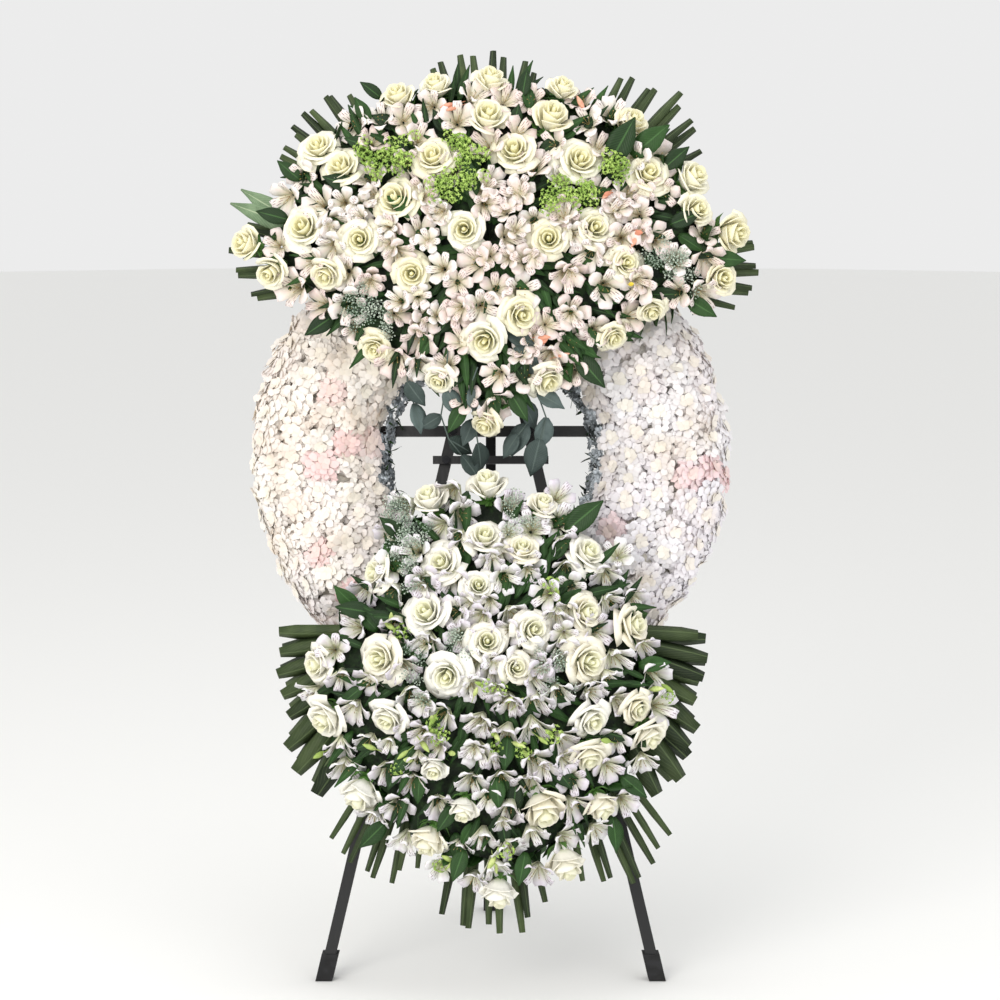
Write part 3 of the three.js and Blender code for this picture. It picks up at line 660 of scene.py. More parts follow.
# Geometry Nodes: a model stands on every point, turned, sized and then made real
def makePlantingTree():
    tree = bpy.data.node_groups.new("planting", "GeometryNodeTree")
    sockets = {"Geometry": "Geometry", "Model": "Object", "Size Spread": "Float", "Spin": "Float",
               "Seed": "Int", "Finish": "Material"}
    for label, kind in sockets.items():
        tree.interface.new_socket(label, in_out="INPUT", socket_type="NodeSocket" + kind)
    tree.interface.new_socket("Geometry", in_out="OUTPUT", socket_type="NodeSocketGeometry")
    given = tree.nodes.new("NodeGroupInput").outputs

    def node(kind, inputs, output=0, **settings):
        made = tree.nodes.new(kind)
        for key, value in settings.items():
            setattr(made, key, value)
        for key, value in inputs.items():
            if isinstance(value, bpy.types.NodeSocket):
                tree.links.new(value, made.inputs[key])
            else:
                made.inputs[key].default_value = value
        return made.outputs[output] if made.outputs else None

    def named(name, kind):
        return node("GeometryNodeInputNamedAttribute", {"Name": name}, "Attribute", data_type=kind)

    def combined(operation, first, second):
        return node("ShaderNodeMath", {0: first, 1: second}, operation=operation)

    def chosen(low, high, seedShift):
        # a random number for each point
        inputs = {"Min": low, "Max": high, "Seed": combined("ADD", given["Seed"], seedShift)}
        return node("FunctionNodeRandomValue", inputs, "Value", data_type="FLOAT")

    turn = node("FunctionNodeEulerToRotation", {0: named("turn", "FLOAT_VECTOR")})
    spun = {"Axis": (0, 0, 1), "Angle": chosen(0.0, given["Spin"], 3)}
    both = {"Rotation": turn, "Rotate By": node("FunctionNodeAxisAngleToRotation", spun)}
    spread = given["Size Spread"]
    vary = chosen(combined("SUBTRACT", 1.0, spread), combined("ADD", 1.0, spread), 11)
    placed = node("GeometryNodeInstanceOnPoints", {
        "Points": given["Geometry"],
        "Instance": node("GeometryNodeObjectInfo", {"Object": given["Model"]}, "Geometry"),
        "Rotation": node("FunctionNodeRotateRotation", both, rotation_space="LOCAL"),
        "Scale": combined("MULTIPLY", named("size", "FLOAT"), vary),
    })
    real = node("GeometryNodeRealizeInstances", {"Geometry": placed})
    finish = node("GeometryNodeSetMaterial", {"Geometry": real, "Material": given["Finish"]})
    node("NodeGroupOutput", {0: finish})
    return tree


plantingTree = makePlantingTree()
fullTurn = 6.28


class Plant:
    # one place where a model stands
    def __init__(self, place, turn, size, tint=0.5, blush=0.0):
        self.place = place
        self.turn = turn
        self.size = size
        self.tint = tint
        self.blush = blush


def lying(pointing, outward):
    along = pointing.normalized()
    across = outward.cross(along).normalized()
    up = along.cross(across)
    return Matrix((along, across, up)).transposed().to_euler()


def planted(name, model, plants, finish, spread=0.06, spin=0.0, seed=1):
    # a copy of the model on every plant's place; sizes vary by spread, turns by up to spin
    points = bpy.data.meshes.new(name + "Points")
    points.from_pydata([plant.place for plant in plants], [], [])
    turns = points.attributes.new("turn", "FLOAT_VECTOR", "POINT")
    turns.data.foreach_set("vector", [value for plant in plants for value in plant.turn])
    for mark in ("size", "tint", "blush"):
        values = points.attributes.new(mark, "FLOAT", "POINT")
        values.data.foreach_set("value", [getattr(plant, mark) for plant in plants])
    holder = added(name + "Points", points)
    modifier = holder.modifiers.new("planting", "NODES")
    modifier.node_group = plantingTree
    values = {"Model": models[model], "Size Spread": spread, "Spin": spin, "Seed": seed,
              "Finish": finishes[finish]}
    for socket in plantingTree.interface.items_tree:
        if socket.in_out == "INPUT" and socket.name in values:
            modifier[socket.identifier] = values[socket.name]
    graph = bpy.context.evaluated_depsgraph_get()
    mesh = bpy.data.meshes.new_from_object(
        holder.evaluated_get(graph), preserve_all_data_layers=True, depsgraph=graph
    )
    holder.modifiers.remove(modifier)
    bpy.data.objects.remove(holder)
    mesh.name = name
    return added(name, mesh)


def joined(name, pieces):
    # several planted pieces become one, with their materials kept
    bpy.ops.object.select_all(action="DESELECT")
    for piece in pieces:
        piece.select_set(True)
    bpy.context.view_layer.objects.active = pieces[0]
    bpy.ops.object.join()
    pieces[0].name = name
    return pieces[0]


def finished(piece, slotName, nodes):
    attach(piece, "root")
    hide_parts(*nodes)
    print(piece.name, len(piece.data.polygons), "faces")


# Each spray: the middle, foam height and rise of its domed surface in metres, the same as its bunches
# have, then its finishes, counts and seeds, and its outline in millimetres
sprays = {
    "top": {
        "centre": (0.000, 1.290), "foam": 1.235, "rise": 0.118, "slot": "cream_flowers",
        "roseFinish": "roseCream", "alstroFinish": "alstroWarm", "alstroemerias": 104,
        "alstroLimit": 0.86, "droop": 0.0, "flowerSeed": 51, "leafSeed": 31,
        "outline": [(0, 945), (-120, 1015), (-235, 1070), (-350, 1170), (-455, 1240), (-458, 1320),
                    (-370, 1470), (-270, 1555), (-120, 1605), (10, 1610), (150, 1600), (285, 1535),
                    (390, 1430), (460, 1330), (440, 1190), (300, 1130), (225, 1085), (120, 1010)],
        "bunches": ("far_left", "upper_left", "high_left", "high_right", "upper_right", "far_right",
                    "middle", "low"),
    },
    "lower": {
        "centre": (-0.005, 0.560), "foam": 0.631, "rise": 0.138, "slot": "white_flowers",
        "roseFinish": "roseWhite", "alstroFinish": "alstroCool", "alstroemerias": 100,
        "alstroLimit": 0.93, "droop": 1.7, "flowerSeed": 61, "leafSeed": 41,
        "outline": [(0, 915), (-140, 880), (-205, 800), (-240, 720), (-265, 640), (-335, 590),
                    (-345, 500), (-325, 430), (-275, 330), (-165, 235), (-60, 150), (15, 130),
                    (100, 150), (200, 215), (255, 320), (315, 420), (320, 520), (300, 640),
                    (215, 800), (130, 880)],
        "bunches": ("high", "upper_left", "upper_right", "far_left", "middle", "far_right",
                    "low_left", "low_right"),
    },
}
surface = {"floor": 0.1233, "rim": 0.018, "step": 0.012, "tilt": 0.8}


class Spray:
    def __init__(self, name):
        self.name = name
        self.given = sprays[name]
        self.nodes = [f"{name}_bunch_{bunch}" for bunch in self.given["bunches"]]
        self.centre = self.given["centre"]
        self.outline = [(x / 1000, z / 1000) for x, z in self.given["outline"]]
        self.polar = sorted(
            (atan2(z - self.centre[1], x - self.centre[0]),
             hypot(x - self.centre[0], z - self.centre[1]))
            for x, z in self.outline
        )

    def reach(self, angle):
        ring = self.polar
        ends = [(ring[-1][0] - 2 * pi, ring[-1][1])] + ring + [(ring[0][0] + 2 * pi, ring[0][1])]
        for (a, low), (b, high) in zip(ends, ends[1:]):
            if a <= angle <= b:
                return low + (high - low) * (angle - a) / (b - a)
        return ring[0][1]

    def at(self, angle, radius):
        return self.centre[0] + radius * cos(angle), self.centre[1] + radius * sin(angle)

    def share(self, x, z):
        # 0 in the spray's middle and 1 on its outline
        across, up = x - self.centre[0], z - self.centre[1]
        return hypot(across, up) / self.reach(atan2(up, across))

    def depth(self, x, z):
        share = min(self.share(x, z), 0.97)
        return surface["floor"] + surface["rim"] + self.given["rise"] * (1 - share ** 2) ** 0.75

    def outward(self, x, z, tilt=None):
        step = surface["step"]
        tilt = surface["tilt"] if tilt is None else tilt
        slopeX = (self.depth(x + step, z) - self.depth(x - step, z)) / (2 * step)
        slopeZ = (self.depth(x, z + step) - self.depth(x, z - step)) / (2 * step)
        return heading(-tilt * slopeX, 1, -tilt * slopeZ)


topSpray = Spray("top")
lowerSpray = Spray("lower")


# Roses stand where the photograph shows them: x, z and diameter in millimetres
rosesOf = {"top": [
    (-160, 1545, 56), (-95, 1565, 52), (0, 1575, 60), (-5, 1505, 70), (-300, 1460, 60),
    (-260, 1420, 62), (-100, 1435, 62), (-165, 1360, 66), (-425, 1290, 56), (-325, 1315, 70),
    (-225, 1290, 60), (-45, 1305, 62), (-380, 1240, 56), (-285, 1230, 52), (-135, 1230, 56),
    (125, 1560, 52), (105, 1505, 70), (40, 1445, 62), (155, 1430, 66), (245, 1500, 60),
    (275, 1410, 60), (350, 1405, 66), (355, 1345, 60), (420, 1310, 70), (100, 1290, 60),
    (180, 1310, 62), (235, 1250, 52), (400, 1230, 56), (55, 1160, 62), (280, 1170, 46),
    (215, 1125, 50), (-10, 1115, 66), (-90, 1050, 50), (100, 1050, 62), (-200, 1105, 50),
    (-10, 975, 50),
], "lower": [
    (-105, 845, 62), (-5, 870, 66), (90, 835, 52), (-10, 780, 62), (-85, 735, 62), (55, 760, 52),
    (170, 755, 62), (-20, 695, 52), (-200, 720, 60), (-110, 650, 70), (-190, 570, 70),
    (-300, 560, 60), (-75, 540, 66), (-5, 600, 60), (75, 620, 60), (165, 650, 56), (250, 630, 62),
    (45, 555, 50), (170, 565, 70), (-285, 465, 70), (-175, 465, 60), (-95, 385, 50),
    (-225, 340, 70), (-45, 315, 54), (-105, 260, 62), (175, 465, 56), (255, 485, 50),
    (275, 435, 62), (170, 400, 62), (90, 315, 76), (190, 320, 58), (130, 220, 66), (15, 170, 66),
]}
roseStand = {"size": 1.38, "lift": -0.002, "tilt": 1.6, "wander": 0.2, "hangBelow": 0.60}


def freeOfRoses(spray, x, z, clear):
    # x and z in metres; clear is a share of the flower's radius
    return all(
        hypot(x - a / 1000, z - b / 1000) > clear * roseStand["size"] * across / 2000
        for a, b, across in rosesOf[spray.name]
    )


def placeRoses(spray, seed):
    chance = Random(seed)
    wander = roseStand["wander"]
    plants = []
    for x, z, across in rosesOf[spray.name]:
        x, z = x / 1000, z / 1000
        outward = spray.outward(x, z, roseStand["tilt"])
        hanging = spray.given["droop"] * max(0.0, 1 - z / roseStand["hangBelow"])
        away = (chance.uniform(-wander, wander), 0, chance.uniform(-wander, wander) - hanging)
        outward = (outward + Vector(away)).normalized()
        place = spot(x, spray.depth(x, z) + roseStand["lift"] * chance.uniform(-0.3, 1), z)
        plants.append(Plant(place, facing(outward), roseStand["size"] * across / 2000, chance.random()))
    return plants


def scattered(spray, count, apart, seed, limit, avoid, clear, region):
    # points kept apart from each other and from the flowers already there
    chance = Random(seed)
    across, upward = zip(*spray.outline)
    found = []
    for attempt in range(count * 60):
        x, z = chance.uniform(min(across), max(across)), chance.uniform(min(upward), max(upward))
        if len(found) >= count:
            break
        if spray.share(x, z) > limit or not region(x, z):
            continue
        if any(hypot(x - a / 1000, z - b / 1000) < clear * c / 2000 for a, b, c in avoid):
            continue
        if any(hypot(x - a, z - b) < apart for a, b in found):
            continue
        found.append((x, z))
    return found


def placeScattered(spray, points, size, sunk, seed, tilt=0.8, wander=0.35, droop=0.0):
    chance = Random(seed)
    plants = []
    for x, z in points:
        away = Vector((chance.uniform(-wander, wander), 0, chance.uniform(-wander, wander) - droop))
        outward = (spray.outward(x, z, tilt) + away).normalized()
        depth = spray.depth(x, z) - sunk * chance.uniform(0.5, 1.3)
        plants.append(Plant(spot(x, depth, z), facing(outward), size, chance.random()))
    return plants


def placeLeaves(spray, leaves, sunk, lift, seed):
    # leaves given as x, z, the way they point in degrees and their length, in millimetres
    chance = Random(seed)
    plants = []
    for x, z, pointing, length in leaves:
        x, z = x / 1000, z / 1000
        turn = radians(pointing)
        outward = spray.outward(x, z)
        along = heading(cos(turn), lift, sin(turn))
        place = spot(x, spray.depth(x, z) - sunk, z)
        plants.append(Plant(place, lying(along, outward), length / 1000, chance.random()))
    return plants


def turnNear(index, count, chance):
    return -pi + 2 * pi * (index + chance.uniform(0, 0.9)) / count


def radialLeaves(spray, given, seed):
    # leaves that point away from the middle and leave the roses' faces free
    chance = Random(seed)
    leaves = []
    for index in range(given["count"]):
        angle = turnNear(index, given["count"], chance)
        x, z = spray.at(angle, spray.reach(angle) * chance.uniform(*given["between"]))
        pointing = degrees(angle) + chance.uniform(-35, 35)
        length = chance.uniform(*given["lengths"])
        turn = radians(pointing)
        tipX = x + 0.8 * length / 1000 * cos(turn)
        tipZ = z + 0.8 * length / 1000 * sin(turn)
        if freeOfRoses(spray, x, z, 0.6) and freeOfRoses(spray, tipX, tipZ, 0.8):
            leaves.append((x * 1000, z * 1000, pointing, length))
    return placeLeaves(spray, leaves, given["sunk"], 0.12, seed)


# leaves that lie on the sides and on the back of the bed
skirt = {"count": 320, "edge": 0.76, "back": (0.30, 0.72), "lengths": (0.048, 0.070), "rise": 0.45}


def skirtLeaves(spray, seed):
    chance = Random(seed)
    plants = []
    for index in range(skirt["count"]):
        angle = turnNear(index, skirt["count"], chance)
        behind = index % 2 == 0
        radius = spray.reach(angle) * (chance.uniform(*skirt["back"]) if behind else skirt["edge"])
        x, z = spray.at(angle, radius)
        side, front = chance.uniform(-1, 1), chance.uniform(-0.7, 1.0)
        if behind:
            depth = surface["floor"] - 0.005
            turn = angle + 0.6 * side
            along = heading(cos(turn), 0, sin(turn))
            outward = heading(0.2 * side, -1, 0.2 * front)
        else:
            depth = chance.uniform(surface["floor"], spray.depth(x, z) - 0.050)
            across, up = cos(angle), sin(angle)
            rise = skirt["rise"]
            along = heading(rise * across - side * up, front, rise * up + side * across)
            outward = heading(across, 0, up)
        size = chance.uniform(*skirt["lengths"])
        plants.append(Plant(spot(x, depth, z), lying(along, outward), size, chance.random()))
    return plants


bed = {"rings": 14, "around": 64, "sunk": 0.034, "rough": 0.007, "reach": 0.78, "behind": 0.003, "seed": 7}


def bedDome(spray):
    # the dark bed of stems that the flowers stand out of, closed at the back
    sheets = Sheets()
    rings, around, rough = bed["rings"], bed["around"], bed["rough"]
    chance = Random(bed["seed"])
    for side in (1, 0):
        for ring in range(rings + 1):
            for k in range(around):
                angle = -pi + 2 * pi * (k + 0.5 * (ring % 2)) / around
                radius = spray.reach(max(-pi, min(pi, angle))) * bed["reach"] * ring / rings
                x, z = spray.at(angle, radius)
                front = spray.depth(x, z) - bed["sunk"] + chance.uniform(-rough, rough)
                sheets.add(spot(x, front if side else surface["floor"] - bed["behind"], z), ring / rings)
    back = (rings + 1) * around
    for ring in range(rings):
        for k in range(around):
            following = (k + 1) % around
            quad = (ring * around + k, ring * around + following, (ring + 1) * around + following,
                    (ring + 1) * around + k)
            sheets.faces.append(tuple(reversed(quad)))
            sheets.faces.append(tuple(index + back for index in quad))
    outer = rings * around
    for k in range(around):
        following = (k + 1) % around
        sheets.faces.append((outer + following, outer + k, outer + k + back, outer + following + back))
    return sheets.model(spray.name + "Bed", "bed")


# The ring: rows of flower heads round a mossy bed
ring = {
    "centreZ": 0.933, "midRadius": 0.302, "halfWidth": 0.110, "back": 0.004, "rise": 0.088,
    "rows": 7, "pitch": 0.0455, "headRadius": 0.0340, "bedSink": 0.010, "seed": 5, "wander": 0.45,
    "pinkWithin": 0.018, "fillers": 620, "fillerSeed": 12, "leafEvery": 5, "floretRadius": 0.0095,
    "around": 96, "across": 12, "rough": 0.004, "bedSeed": 3,
}
pinkHeads = [
    (333, 398), (312, 395), (368, 434), (346, 441), (325, 452), (275, 452), (275, 424), (322, 473),
    (342, 516), (359, 541), (382, 532), (315, 552), (341, 590), (674, 457), (691, 476), (715, 470),
    (608, 533),
]
photoScale = {"middle": 490.5, "foot": 985, "metres": 0.00175}


def photoSpot(column, row):
    metres = photoScale["metres"]
    return (column - photoScale["middle"]) * metres, (photoScale["foot"] - row) * metres


def ringSpot(angle, arch, raised):
    radius = ring["midRadius"] - (ring["halfWidth"] + raised) * cos(pi * arch)
    depth = ring["back"] + (ring["rise"] + raised) * sin(pi * arch)
    return radius * cos(angle), depth, ring["centreZ"] + radius * sin(angle)


def ringOutward(angle, arch):
    away = -cos(pi * arch) / ring["halfWidth"]
    front = sin(pi * arch) / ring["rise"]
    return heading(away * cos(angle), front, away * sin(angle))


def ringBed():
    sheets = Sheets()
    around, across, rough = ring["around"], ring["across"], ring["rough"]
    chance = Random(ring["bedSeed"])
    for k in range(around):
        angle = 2 * pi * k / around
        for row in range(across + 1):
            sunk = -ring["bedSink"] + (chance.uniform(-rough, rough) if 0 < row < across else 0)
            sheets.add(spot(*ringSpot(angle, row / across, sunk)), row / across)
    wide = across + 1
    for k in range(around):
        one, other = k * wide, (k + 1) % around * wide
        for row in range(across):
            sheets.faces.append((one + row, other + row, other + row + 1, one + row + 1))
        sheets.faces.append((one + across, other + across, other, one))
    return sheets.model("ringBed", "moss")


def ringHeads():
    chance = Random(ring["seed"])
    blushes = [photoSpot(*place) for place in pinkHeads]
    groups = {"headA": [], "headB": []}
    wander = ring["wander"]
    for row in range(1, ring["rows"]):
        arch = (row + 0.5) / ring["rows"]
        radius = ring["midRadius"] - ring["halfWidth"] * cos(pi * arch)
        count = round(2 * pi * radius / ring["pitch"])
        for k in range(count):
            angle = 2 * pi * (k + 0.5 * (row % 2) + chance.uniform(-0.15, 0.15)) / count
            nudged = arch + chance.uniform(-0.014, 0.014)
            place = ringSpot(angle, nudged, chance.uniform(-0.012, -0.005))
            away = Vector((chance.uniform(-wander, wander), 0, chance.uniform(-wander, wander)))
            outward = (ringOutward(angle, nudged) + away).normalized()
            pink = any(hypot(place[0] - x, place[2] - z) < ring["pinkWithin"] for x, z in blushes)
            # painted shade: the heads turn a cooler, greyer white round the ring's right and lower side, away
            # from the key light, with some random spread
            paintedShadeSide = 0.5 + 0.45 * cos(angle + 0.6) + chance.uniform(-0.2, 0.2)
            blush = chance.uniform(0.3, 0.7) if pink else 0.10 * chance.random()
            size = ring["headRadius"] * chance.uniform(0.92, 1.08)
            plant = Plant(spot(*place), facing(outward), size, max(0.0, min(1.0, paintedShadeSide)), blush)
            groups[chance.choice(sorted(groups))].append(plant)
    parts = [
        planted("ringHeads" + name, name, plants, "heads", spread=0.05, spin=fullTurn, seed=4)
        for name, plants in groups.items()
    ]
    return joined("ringHeads", parts)


def ringFillers():
    # little leaves and blue-grey florets in the shade of the hole's rim
    # the florets' pale blue-grey and near-black colours are painted shade on white blooms
    chance = Random(ring["fillerSeed"])
    leaves, florets = [], []
    for k in range(ring["fillers"]):
        angle = chance.uniform(0, 2 * pi)
        arch = chance.uniform(-0.03, 0.17)
        place = ringSpot(angle, arch, chance.uniform(0.006, 0.014))
        outward = ringOutward(angle, arch)
        aim = Vector((chance.uniform(-1, 1), chance.uniform(-0.9, 0.2), chance.uniform(-1, 1)))
        along = (outward * 0.9 + aim * 0.6).normalized()
        turn = lying(along, outward.cross(along).cross(along).normalized() * -1)
        if k % ring["leafEvery"] == 0:
            leaves.append(Plant(spot(*place), turn, chance.uniform(0.016, 0.026), chance.random()))
        else:
            florets.append(Plant(spot(*place), facing(along), ring["floretRadius"], chance.random()))
    leafPiece = planted("rimLeaves", "lance", leaves, "leaf", spread=0.1, seed=3)
    floretPiece = planted("rimFlorets", "floret", florets, "rim", spread=0.25, spin=fullTurn, seed=3)
    return joined("ringLeaves", [leafPiece, floretPiece])


ringNodes = [f"ring_flowers_{number:02d}" for number in range(1, 11)]
for make in (ringBed, ringHeads, ringFillers):
    finished(make(), "ring_flowers", ringNodes)


# Palm leaves: pleated fans of narrow blades that stand in each foam block
palms = {"depth": 0.112, "pleat": 0.0035, "sideShorter": 0.09, "shorter": 0.06, "longerDown": 1.1}
palmBlades = {"stripTop": 9, "stripFan": 15, "stripLow": 8}
# each fan: its hub in millimetres from the foam's middle, its direction and spread in degrees and
# its length in millimetres
palmFans = {
    "top": [
        ("left", -130, 20, 176, 34, 330), ("upper_left", -95, 65, 136, 34, 345),
        ("top", 0, 65, 90, 44, 355), ("upper_right", 95, 65, 49, 38, 362),
        ("right", 130, 20, 2, 32, 352),
    ],
    "lower": [
        ("left", -130, -10, 211, 62, 265), ("low_left", -85, -65, 251, 27, 415),
        ("low", 0, -65, 271, 25, 490), ("low_right", 85, -65, 294, 28, 430),
        ("right", 130, -10, -30, 62, 270),
    ],
}


def palmPiece(spray, seed):
    chance = Random(seed)
    groups = {"stripTop": [], "stripFan": [], "stripLow": []}
    for name, hubX, hubZ, direction, spread, length in palmFans[spray.name]:
        kind = "stripTop" if spray is topSpray else "stripFan" if length < 300 else "stripLow"
        count = palmBlades[kind]
        for blade in range(count):
            share = (blade + 0.5) / count - 0.5
            turn = radians(direction + share * spread + chance.uniform(-0.6, 0.6))
            shorter = palms["sideShorter"] * abs(2 * share) + chance.uniform(0, palms["shorter"])
            reach = length / 1000 * (1 - shorter)
            if kind == "stripFan":
                reach *= 1 + palms["longerDown"] * max(0.0, -sin(turn) - 0.5)
            along = heading(cos(turn), chance.uniform(-0.01, 0.05), sin(turn))
            side = (-1) ** blade
            outward = heading(-0.45 * side * sin(turn), 1, 0.45 * side * cos(turn))
            depth = palms["depth"] + palms["pleat"] * side
            place = spot(hubX / 1000, depth, spray.given["foam"] + hubZ / 1000)
            groups[kind].append(Plant(place, lying(along, outward), reach, chance.uniform(0, 0.8)))
    parts = [
        planted(spray.name + kind, kind, blades, "palm", spread=0.0, seed=2)
        for kind, blades in groups.items() if blades
    ]
    return joined(spray.name + "Palms", parts)


# Broad leaves, buds and fillers between the flowers
leavesOf = {"top": [
    (-270, 1165, 215, 60), (-350, 1330, 165, 60), (-330, 1400, 140, 50), (-210, 1500, 120, 50),
    (-190, 1545, 140, 48), (55, 1545, 80, 50), (205, 1425, 60, 95), (245, 1440, 40, 80),
    (300, 1420, 40, 60), (385, 1265, -5, 60), (340, 1195, -35, 60), (150, 1095, -50, 70),
    (-45, 1010, 240, 55), (35, 1030, -60, 60), (-30, 1360, 100, 70), (-120, 1330, 150, 70),
    (-230, 1380, 160, 60), (310, 1320, 20, 60),
], "lower": [
    (130, 790, 40, 80), (-150, 780, 140, 55), (-205, 650, 170, 60), (255, 560, 5, 55),
    (-130, 420, 230, 60), (30, 440, 265, 60), (225, 370, -40, 60), (-180, 290, 225, 60),
    (60, 240, 260, 60), (-45, 245, 250, 60), (10, 370, 275, 55), (210, 300, 280, 60),
    (-225, 655, 140, 60), (-60, 320, 235, 55),
]}
# fillers and buds, as photograph columns and rows
topBuds = [(386, 122), (455, 118), (578, 118), (385, 195), (620, 135), (640, 243), (610, 197),
           (555, 355), (535, 350)]
topLime = [(370, 165), (388, 178), (402, 160), (440, 185), (462, 160), (475, 180), (575, 195),
           (600, 178), (625, 180), (560, 205), (585, 212), (450, 200)]
topYellow = [(283, 238), (292, 252), (314, 278), (629, 292), (635, 326)]
topGrey = [(355, 305), (368, 318), (380, 328), (655, 262), (672, 275), (690, 285)]
lowerLime = [(440, 715), (455, 745), (400, 705), (520, 745), (545, 735), (480, 690), (430, 735),
             (410, 755), (490, 735), (375, 740), (600, 745), (515, 700), (395, 625), (585, 610),
             (470, 570), (560, 600), (500, 860), (455, 855), (480, 800), (330, 745), (655, 690)]
lowerGrey = [(400, 505), (405, 520), (402, 545), (425, 555), (416, 575), (405, 515), (418, 535),
             (435, 555), (502, 505), (520, 530), (445, 625), (462, 645), (412, 655), (426, 685),
             (542, 645), (556, 675)]
fillersOf = {
    "top": {"Lime": (topLime, 9, "lime"), "Grey": (topGrey, 8, "grey"), "Buds": (topBuds, 2, "bud")},
    "lower": {"Lime": (lowerLime, 1, "lime"), "Grey": (lowerGrey, 8, "grey"),
              "Buds": (lowerLime, 2, "limeBud")},
}
fillers = {
    "Lime": {"model": "limeCluster", "apart": 0.026, "size": 0.015, "sunk": -0.002, "tilt": 0.8,
             "wander": 0.35, "seedShift": 0},
    "Grey": {"model": "greyCluster", "apart": 0.026, "size": 0.014, "sunk": 0.002, "tilt": 0.8,
             "wander": 0.35, "seedShift": 3},
    "Buds": {"model": "bud", "apart": 0.012, "size": 0.022, "sunk": 0.002, "tilt": 1.6,
             "wander": 1.4, "seedShift": 4},
}
broadLeaves = {"sunk": 0.012, "lift": 0.25}
# leaves that point away from the middle, between two shares of its reach; lengths in millimetres
outwardLeaves = {
    "Backing": {"model": "broad", "count": 60, "between": (0.40, 0.74), "lengths": (42, 60),
                "sunk": 0.024, "seedShift": 1},
    "Slim": {"model": "lance", "count": 420, "between": (0.08, 0.80), "lengths": (45, 70),
             "sunk": 0.026, "seedShift": 2},
}


def patches(spray, places, each, spreadOut, seed):
    chance = Random(seed)
    found = []
    for place in places:
        x, z = photoSpot(*place)
        for copy in range(each):
            aside, above = chance.uniform(-spreadOut, spreadOut), chance.uniform(-spreadOut, spreadOut)
            found.append((x + aside, z + above))
    return [(x, z) for x, z in found if spray.share(x, z) < 1.05 and freeOfRoses(spray, x, z, 1.0)]


straps = {"places": [(262, 216, 158), (266, 206, 148)], "before": 0.07, "depth": 0.142, "length": 0.125}


def stripedStraps():
    # places: photograph column and row, and the way the leaf points in degrees
    plants = []
    for column, row, pointing in straps["places"]:
        x, z = photoSpot(column, row)
        turn = radians(pointing)
        start = (x - straps["before"] * cos(turn), z - straps["before"] * sin(turn))
        laid = lying(heading(cos(turn), 0.1, sin(turn)), topSpray.outward(*start))
        plants.append(Plant(spot(start[0], straps["depth"], start[1]), laid, straps["length"]))
    return planted("stripedStraps", "strap", plants, "striped", spread=0.05, seed=2)


# stems that hang in front of the hole, as photograph columns and rows
hangingStems = [
    [(449, 352), (446, 392), (441, 416), (449, 440), (462, 456)],
    [(478, 372), (470, 392), (474, 420), (478, 444)],
    [(528, 352), (537, 396), (546, 418), (540, 440)],
    [(521, 372), (522, 402), (527, 424), (518, 436)],
    [(409, 352), (408, 384), (414, 404)],
    [(500, 318), (506, 338), (516, 352)],
]
hanging = {
    "depth": 0.120, "apart": 0.010, "sunk": 0.012, "sprayAbove": 1.03, "stem": 0.0014, "sides": 5,
    "leaves": (0.048, 0.068), "seed": 21,
}


def holeEucalyptus():
    chance = Random(hanging["seed"])
    leaves, stems = [], Sheets()
    for stem in hangingStems:
        nodes = []
        for step, (column, row) in enumerate(stem):
            x, z = photoSpot(column, row)
            low = hanging["depth"] + hanging["apart"] * (step % 2)
            inSpray = z > hanging["sprayAbove"]
            nodes.append((x, topSpray.depth(x, z) - hanging["sunk"] if inSpray else low, z))
        stems.tube([spot(*node) for node in nodes], hanging["stem"], hanging["sides"], 0.0)
        for step, node in enumerate(nodes[1:]):
            before = nodes[step]
            down = atan2(node[2] - before[2], node[0] - before[0])
            sides = (0.0,) if step == len(nodes) - 2 else ((-1) ** step,)
            for side in sides:
                lean = down + side * chance.uniform(0.5, 0.9)
                along = heading(cos(lean), chance.uniform(-0.5, 0.2), sin(lean))
                outward = heading(chance.uniform(-0.7, 0.7), 1, chance.uniform(-0.3, 0.5))
                size = chance.uniform(*hanging["leaves"])
                leaves.append(Plant(spot(*node), lying(along, outward), size, chance.random()))
    stemPiece = stems.model("hangingStems", "eucalyptus")
    leafPiece = planted("hangingLeaves", "ovate", leaves, "eucalyptus", spread=0.1, seed=2)
    return joined("holeEucalyptus", [leafPiece, stemPiece])


def foliage(spray):
    name, seed = spray.name, spray.given["leafSeed"]

    def outward(label):
        given = outwardLeaves[label]
        leaves = radialLeaves(spray, given, seed + given["seedShift"])
        return planted(name + label, given["model"], leaves, "leaf", spread=0.1, seed=2)

    broad = placeLeaves(spray, leavesOf[name], broadLeaves["sunk"], broadLeaves["lift"], seed)
    parts = [
        palmPiece(spray, seed),
        planted(name + "Leaves", "broad", broad, "leaf"),
        outward("Backing"),
        planted(name + "Skirt", "ovate", skirtLeaves(spray, seed + 5), "leaf", spread=0.1, seed=2),
        outward("Slim"),
    ]
    for label, (places, each, finish) in fillersOf[name].items():
        kind = fillers[label]
        points = patches(spray, places, each, kind["apart"], seed + kind["seedShift"])
        plants = placeScattered(spray, points, kind["size"], kind["sunk"], seed, kind["tilt"], kind["wander"])
        parts.append(planted(name + label, kind["model"], plants, finish, spread=0.15, spin=fullTurn, seed=2))
    return parts


def yellowBuds():
    points = patches(topSpray, topYellow, each=1, spreadOut=0.003, seed=5)
    plants = placeScattered(topSpray, points, size=0.017, sunk=-0.012, seed=6)
    return planted("topYellowBuds", "bud", plants, "yellow", spread=0.1, spin=fullTurn, seed=2)


for spray, extras in ((topSpray, (stripedStraps, holeEucalyptus, yellowBuds)), (lowerSpray, ())):
    parts = foliage(spray) + [make() for make in extras]
    palmNodes = [f"{spray.name}_palm_{fan[0]}" for fan in palmFans[spray.name]]
    finished(joined(spray.name + "Foliage", parts), "green_foliage", palmNodes)


